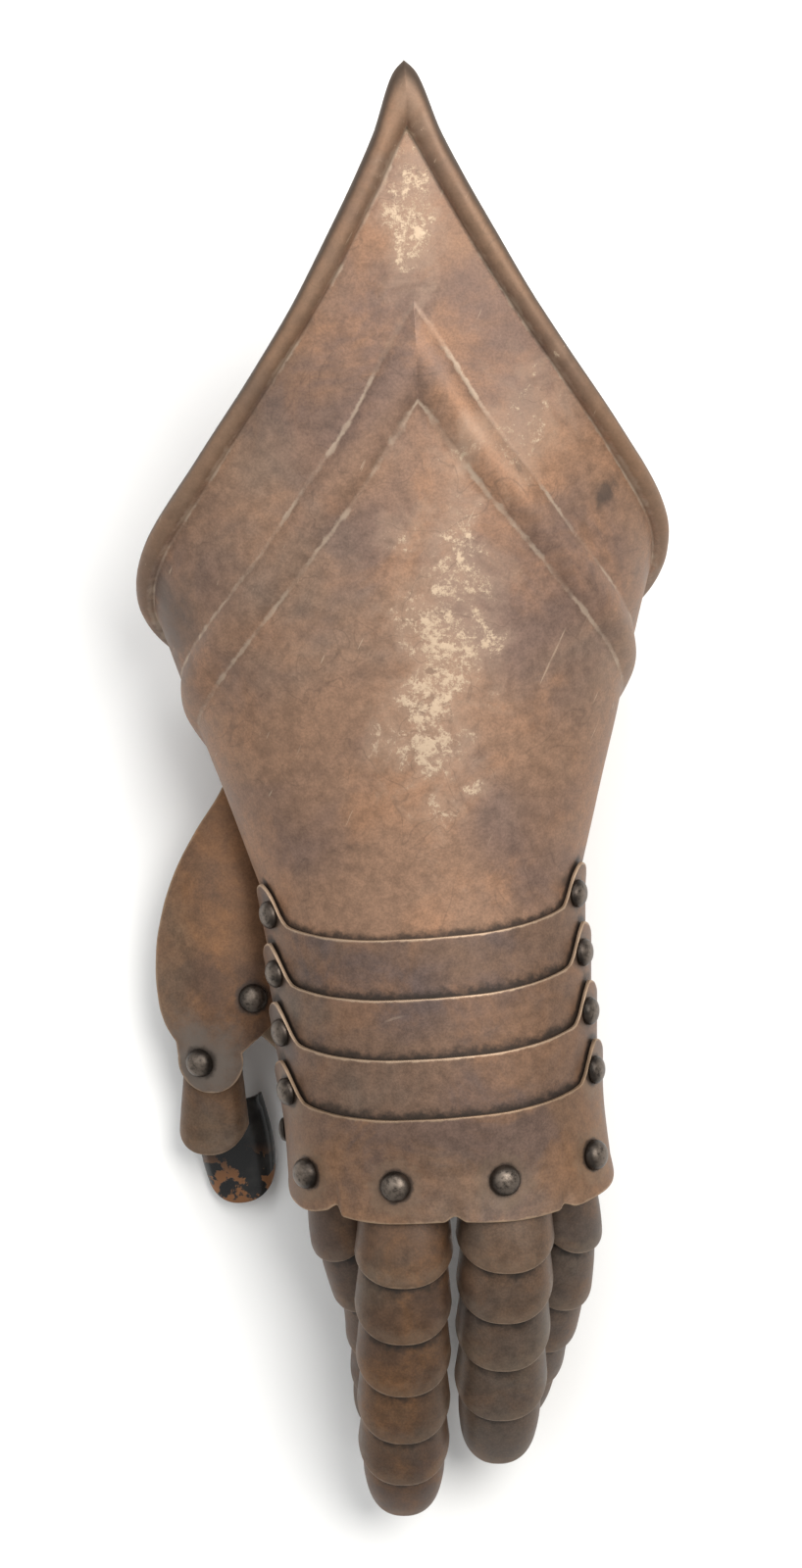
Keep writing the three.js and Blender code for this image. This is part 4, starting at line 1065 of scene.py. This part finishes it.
leaf_finish, tree, shader, place = new_finish("thumb leaf copper")
brown = grouped(tree, aged_brown, [
    ("Place", place), ("Brown", (0.165, 0.085, 0.043, 1)), ("Orange", (0.215, 0.103, 0.045, 1)),
    ("Plum", (0.11, 0.06, 0.036, 1)), ("Grey", (0.15, 0.105, 0.07, 1)), ("Zones", 24.0),
])
colour = brown["Colour"]
lobe_grey = grouped(tree, line_band, [
    ("Place", place), ("Distance", mark(tree, "lobe")), ("From", 4.0), ("To", 21.0), ("Ragged", 5.0), ("Size", 90.0),
])["Mask"]
colour = mixed(tree, maths(tree, "MULTIPLY", lobe_grey, 0.9), colour, (0.15, 0.125, 0.105, 1))
for named, radius in (("rivet", 4.4), ("lobe", 4.4)):
    ring = grouped(tree, line_band, [
        ("Place", place), ("Distance", mark(tree, named)), ("From", radius), ("To", radius + 1.6), ("Ragged", 0.6),
    ])["Mask"]
    colour = mixed(tree, maths(tree, "MULTIPLY", ring, 0.8), colour, (0.045, 0.034, 0.027, 1))
worn = grouped(tree, line_band, [
    ("Place", place), ("Distance", mark(tree, "edge")), ("From", 0.15), ("To", 0.8), ("Ragged", 0.3),
])["Mask"]
colour = mixed(tree, maths(tree, "MULTIPLY", worn, 0.5), colour, (0.36, 0.25, 0.16, 1))
tree.links.new(colour, shader.inputs["Base Color"])
shader.inputs["Metallic"].default_value = 0.45
tree.links.new(stepped(tree, brown["Mottle"], 0.3, 0.7, 0.45, 0.58), shader.inputs["Roughness"])
set_relief(tree, shader, brown["Mottle"], 0.00006)

leaf_mesh = laid_grid(70, 150, leaf_place, LEAF_MARKS)
bmesh.ops.remove_doubles(leaf_mesh, verts=leaf_mesh.verts, dist=0.00002)
outward(leaf_mesh, Vector((-0.06, -0.04, -0.3)))
leaf = piece_of(leaf_mesh, "thumb_leaf_sheet", leaf_finish, "aged_copper", "thumb_leaf_body", "thumb_leaf")
give_thickness(leaf, SHEET, 0.25)
add_rivet("thumb_rivet_leaf", leaf_rivet, THUMB_RIVET, SHEET + HANGER_GAP + HANGER_THICK, "thumb_leaf_body")
add_rivet("thumb_rivet_lobe", lobe_rivet, THUMB_RIVET, 2 * SHEET + 2.4, "thumb_scale_body")

thumb_scale = dict(THUMB_SCALE, spine=Spine(THUMB_SCALE["root"], THUMB_SCALE["scales"]))
add_scale("thumb_scale", thumb_scale, 0, 33, warm_scales, "aged_copper", "thumb_scale_body", overlap=0, notch=0)

tip_finish, tree, shader, place = new_finish("thumb tip lacquer")
flaked = blotches(tree, place, 130, 5, 0.6, 0.4)
low_half = stepped(tree, put(tree, "SeparateXYZ", [(0, place)]).outputs["Y"], -0.108, -0.094, 1.0, 0.0)
bare = maths(tree, "MULTIPLY", stepped(tree, flaked, 0.52, 0.55), low_half)
smudge = blotches(tree, place, 45, 4, 0.6)
black = mixed(tree, stepped(tree, smudge, 0.4, 0.7), (0.012, 0.012, 0.012, 1), (0.05, 0.047, 0.043, 1))
colour = mixed(tree, bare, black, (0.23, 0.105, 0.045, 1))
tree.links.new(colour, shader.inputs["Base Color"])
tree.links.new(stepped(tree, bare, 0, 1, 0.2, 0.5), shader.inputs["Metallic"])
tree.links.new(stepped(tree, bare, 0, 1, 0.22, 0.5), shader.inputs["Roughness"])
set_relief(tree, shader, maths(tree, "SUBTRACT", 1.0, bare), 0.00008)
thumb_tip = dict(THUMB_TIP, spine=Spine(THUMB_TIP["root"], THUMB_TIP["scales"]))
add_scale("thumb_tip", thumb_tip, 0, 32.5, tip_finish, "tip_enamel", "thumb_scale_body", is_tip=True,
          overlap=0, notch=0)

# The hanger: a bent strip from the knuckle plate's end to the underside of the leaf.
own_rivet = spot_on(knuckle_surface, HANGER_RIVET["angle"], HANGER_RIVET["y"])
bends = [
    (own_rivet[0] - own_rivet[1] * (SHEET + HANGER_GAP) + Vector((0, -5, 0)), own_rivet[1]),
    (own_rivet[0] - own_rivet[1] * (SHEET + HANGER_GAP) + Vector((0, 3.2, 0)), own_rivet[1]),
]
bends += [(Vector(bend["at"]), Vector(bend["facing"]).normalized()) for bend in HANGER_BEND]
bends += [
    (leaf_rivet[0] - leaf_rivet[1] * (SHEET + HANGER_GAP) + Vector((0, -3.4, 0)), leaf_rivet[1]),
    (leaf_rivet[0] - leaf_rivet[1] * (SHEET + HANGER_GAP) + Vector((0, 5, 0)), leaf_rivet[1]),
]
stations = []
for i, (point, up) in enumerate(bends):
    forward = bends[min(i + 1, len(bends) - 1)][0] - bends[max(i - 1, 0)][0]
    stations.append((point, forward.cross(up).normalized(), up))
add_strip("thumb_hanger", stations, HANGER_HALF, 0, HANGER_THICK, lame_finish, "aged_copper", "hand_body")
add_rivet("thumb_rivet_hanger", own_rivet, FLAT_RIVET, SHEET + HANGER_GAP + HANGER_THICK, "hand_body")

# ---------------------------------------------------------------------------
# Studio. A pale floor, a broad soft light high on the little finger's side, and a camera straight
# above that is turned a little against the gauntlet.
# ---------------------------------------------------------------------------

floor_mesh = bmesh.new()
bmesh.ops.create_grid(floor_mesh, x_segments=8, y_segments=8, size=3)
floor_data = bpy.data.meshes.new("floor")
floor_mesh.to_mesh(floor_data)
floor_mesh.free()
floor = bpy.data.objects.new("floor", floor_data)
bpy.context.scene.collection.objects.link(floor)
floor_finish, tree, shader, place = new_finish("floor paper")
shader.inputs["Base Color"].default_value = (0.9, 0.9, 0.89, 1)
shader.inputs["Roughness"].default_value = 0.9
floor_data.materials.append(floor_finish)

LIGHTS = [
    dict(name="key", place=(0.55, 0.35, 1.25), size=0.9, power=18.0, colour=(1.0, 0.98, 0.95)),
    dict(name="fill", place=(-0.7, 0.2, 1.1), size=1.0, power=3.5, colour=(0.97, 0.99, 1.0)),
    dict(name="top", place=(0.0, 0.9, 0.9), size=0.7, power=5.0, colour=(1.0, 1.0, 1.0)),
]
for row in LIGHTS:
    lamp = bpy.data.lights.new(row["name"], "AREA")
    lamp.shape = "DISK"
    lamp.size = row["size"]
    lamp.energy = row["power"]
    lamp.color = row["colour"]
    light = bpy.data.objects.new(row["name"], lamp)
    light.location = row["place"]
    light.rotation_euler = (Vector((0, 0, 0.05)) - light.location).to_track_quat("-Z", "Y").to_euler()
    bpy.context.scene.collection.objects.link(light)

world = bpy.data.worlds.new("studio")
world.use_nodes = True
world.node_tree.nodes["Background"].inputs["Color"].default_value = (1, 1, 1, 1)
world.node_tree.nodes["Background"].inputs["Strength"].default_value = 0.5
bpy.context.scene.world = world
bpy.context.scene.view_settings.view_transform = "Standard"

lens = bpy.data.cameras.new("camera")
lens.lens = 70.16
camera = bpy.data.objects.new("camera", lens)
camera.location = (-0.0025, 0.0120, 0.95)
camera.rotation_euler = (0, 0, math.radians(-4))
bpy.context.scene.collection.objects.link(camera)
bpy.context.scene.camera = camera
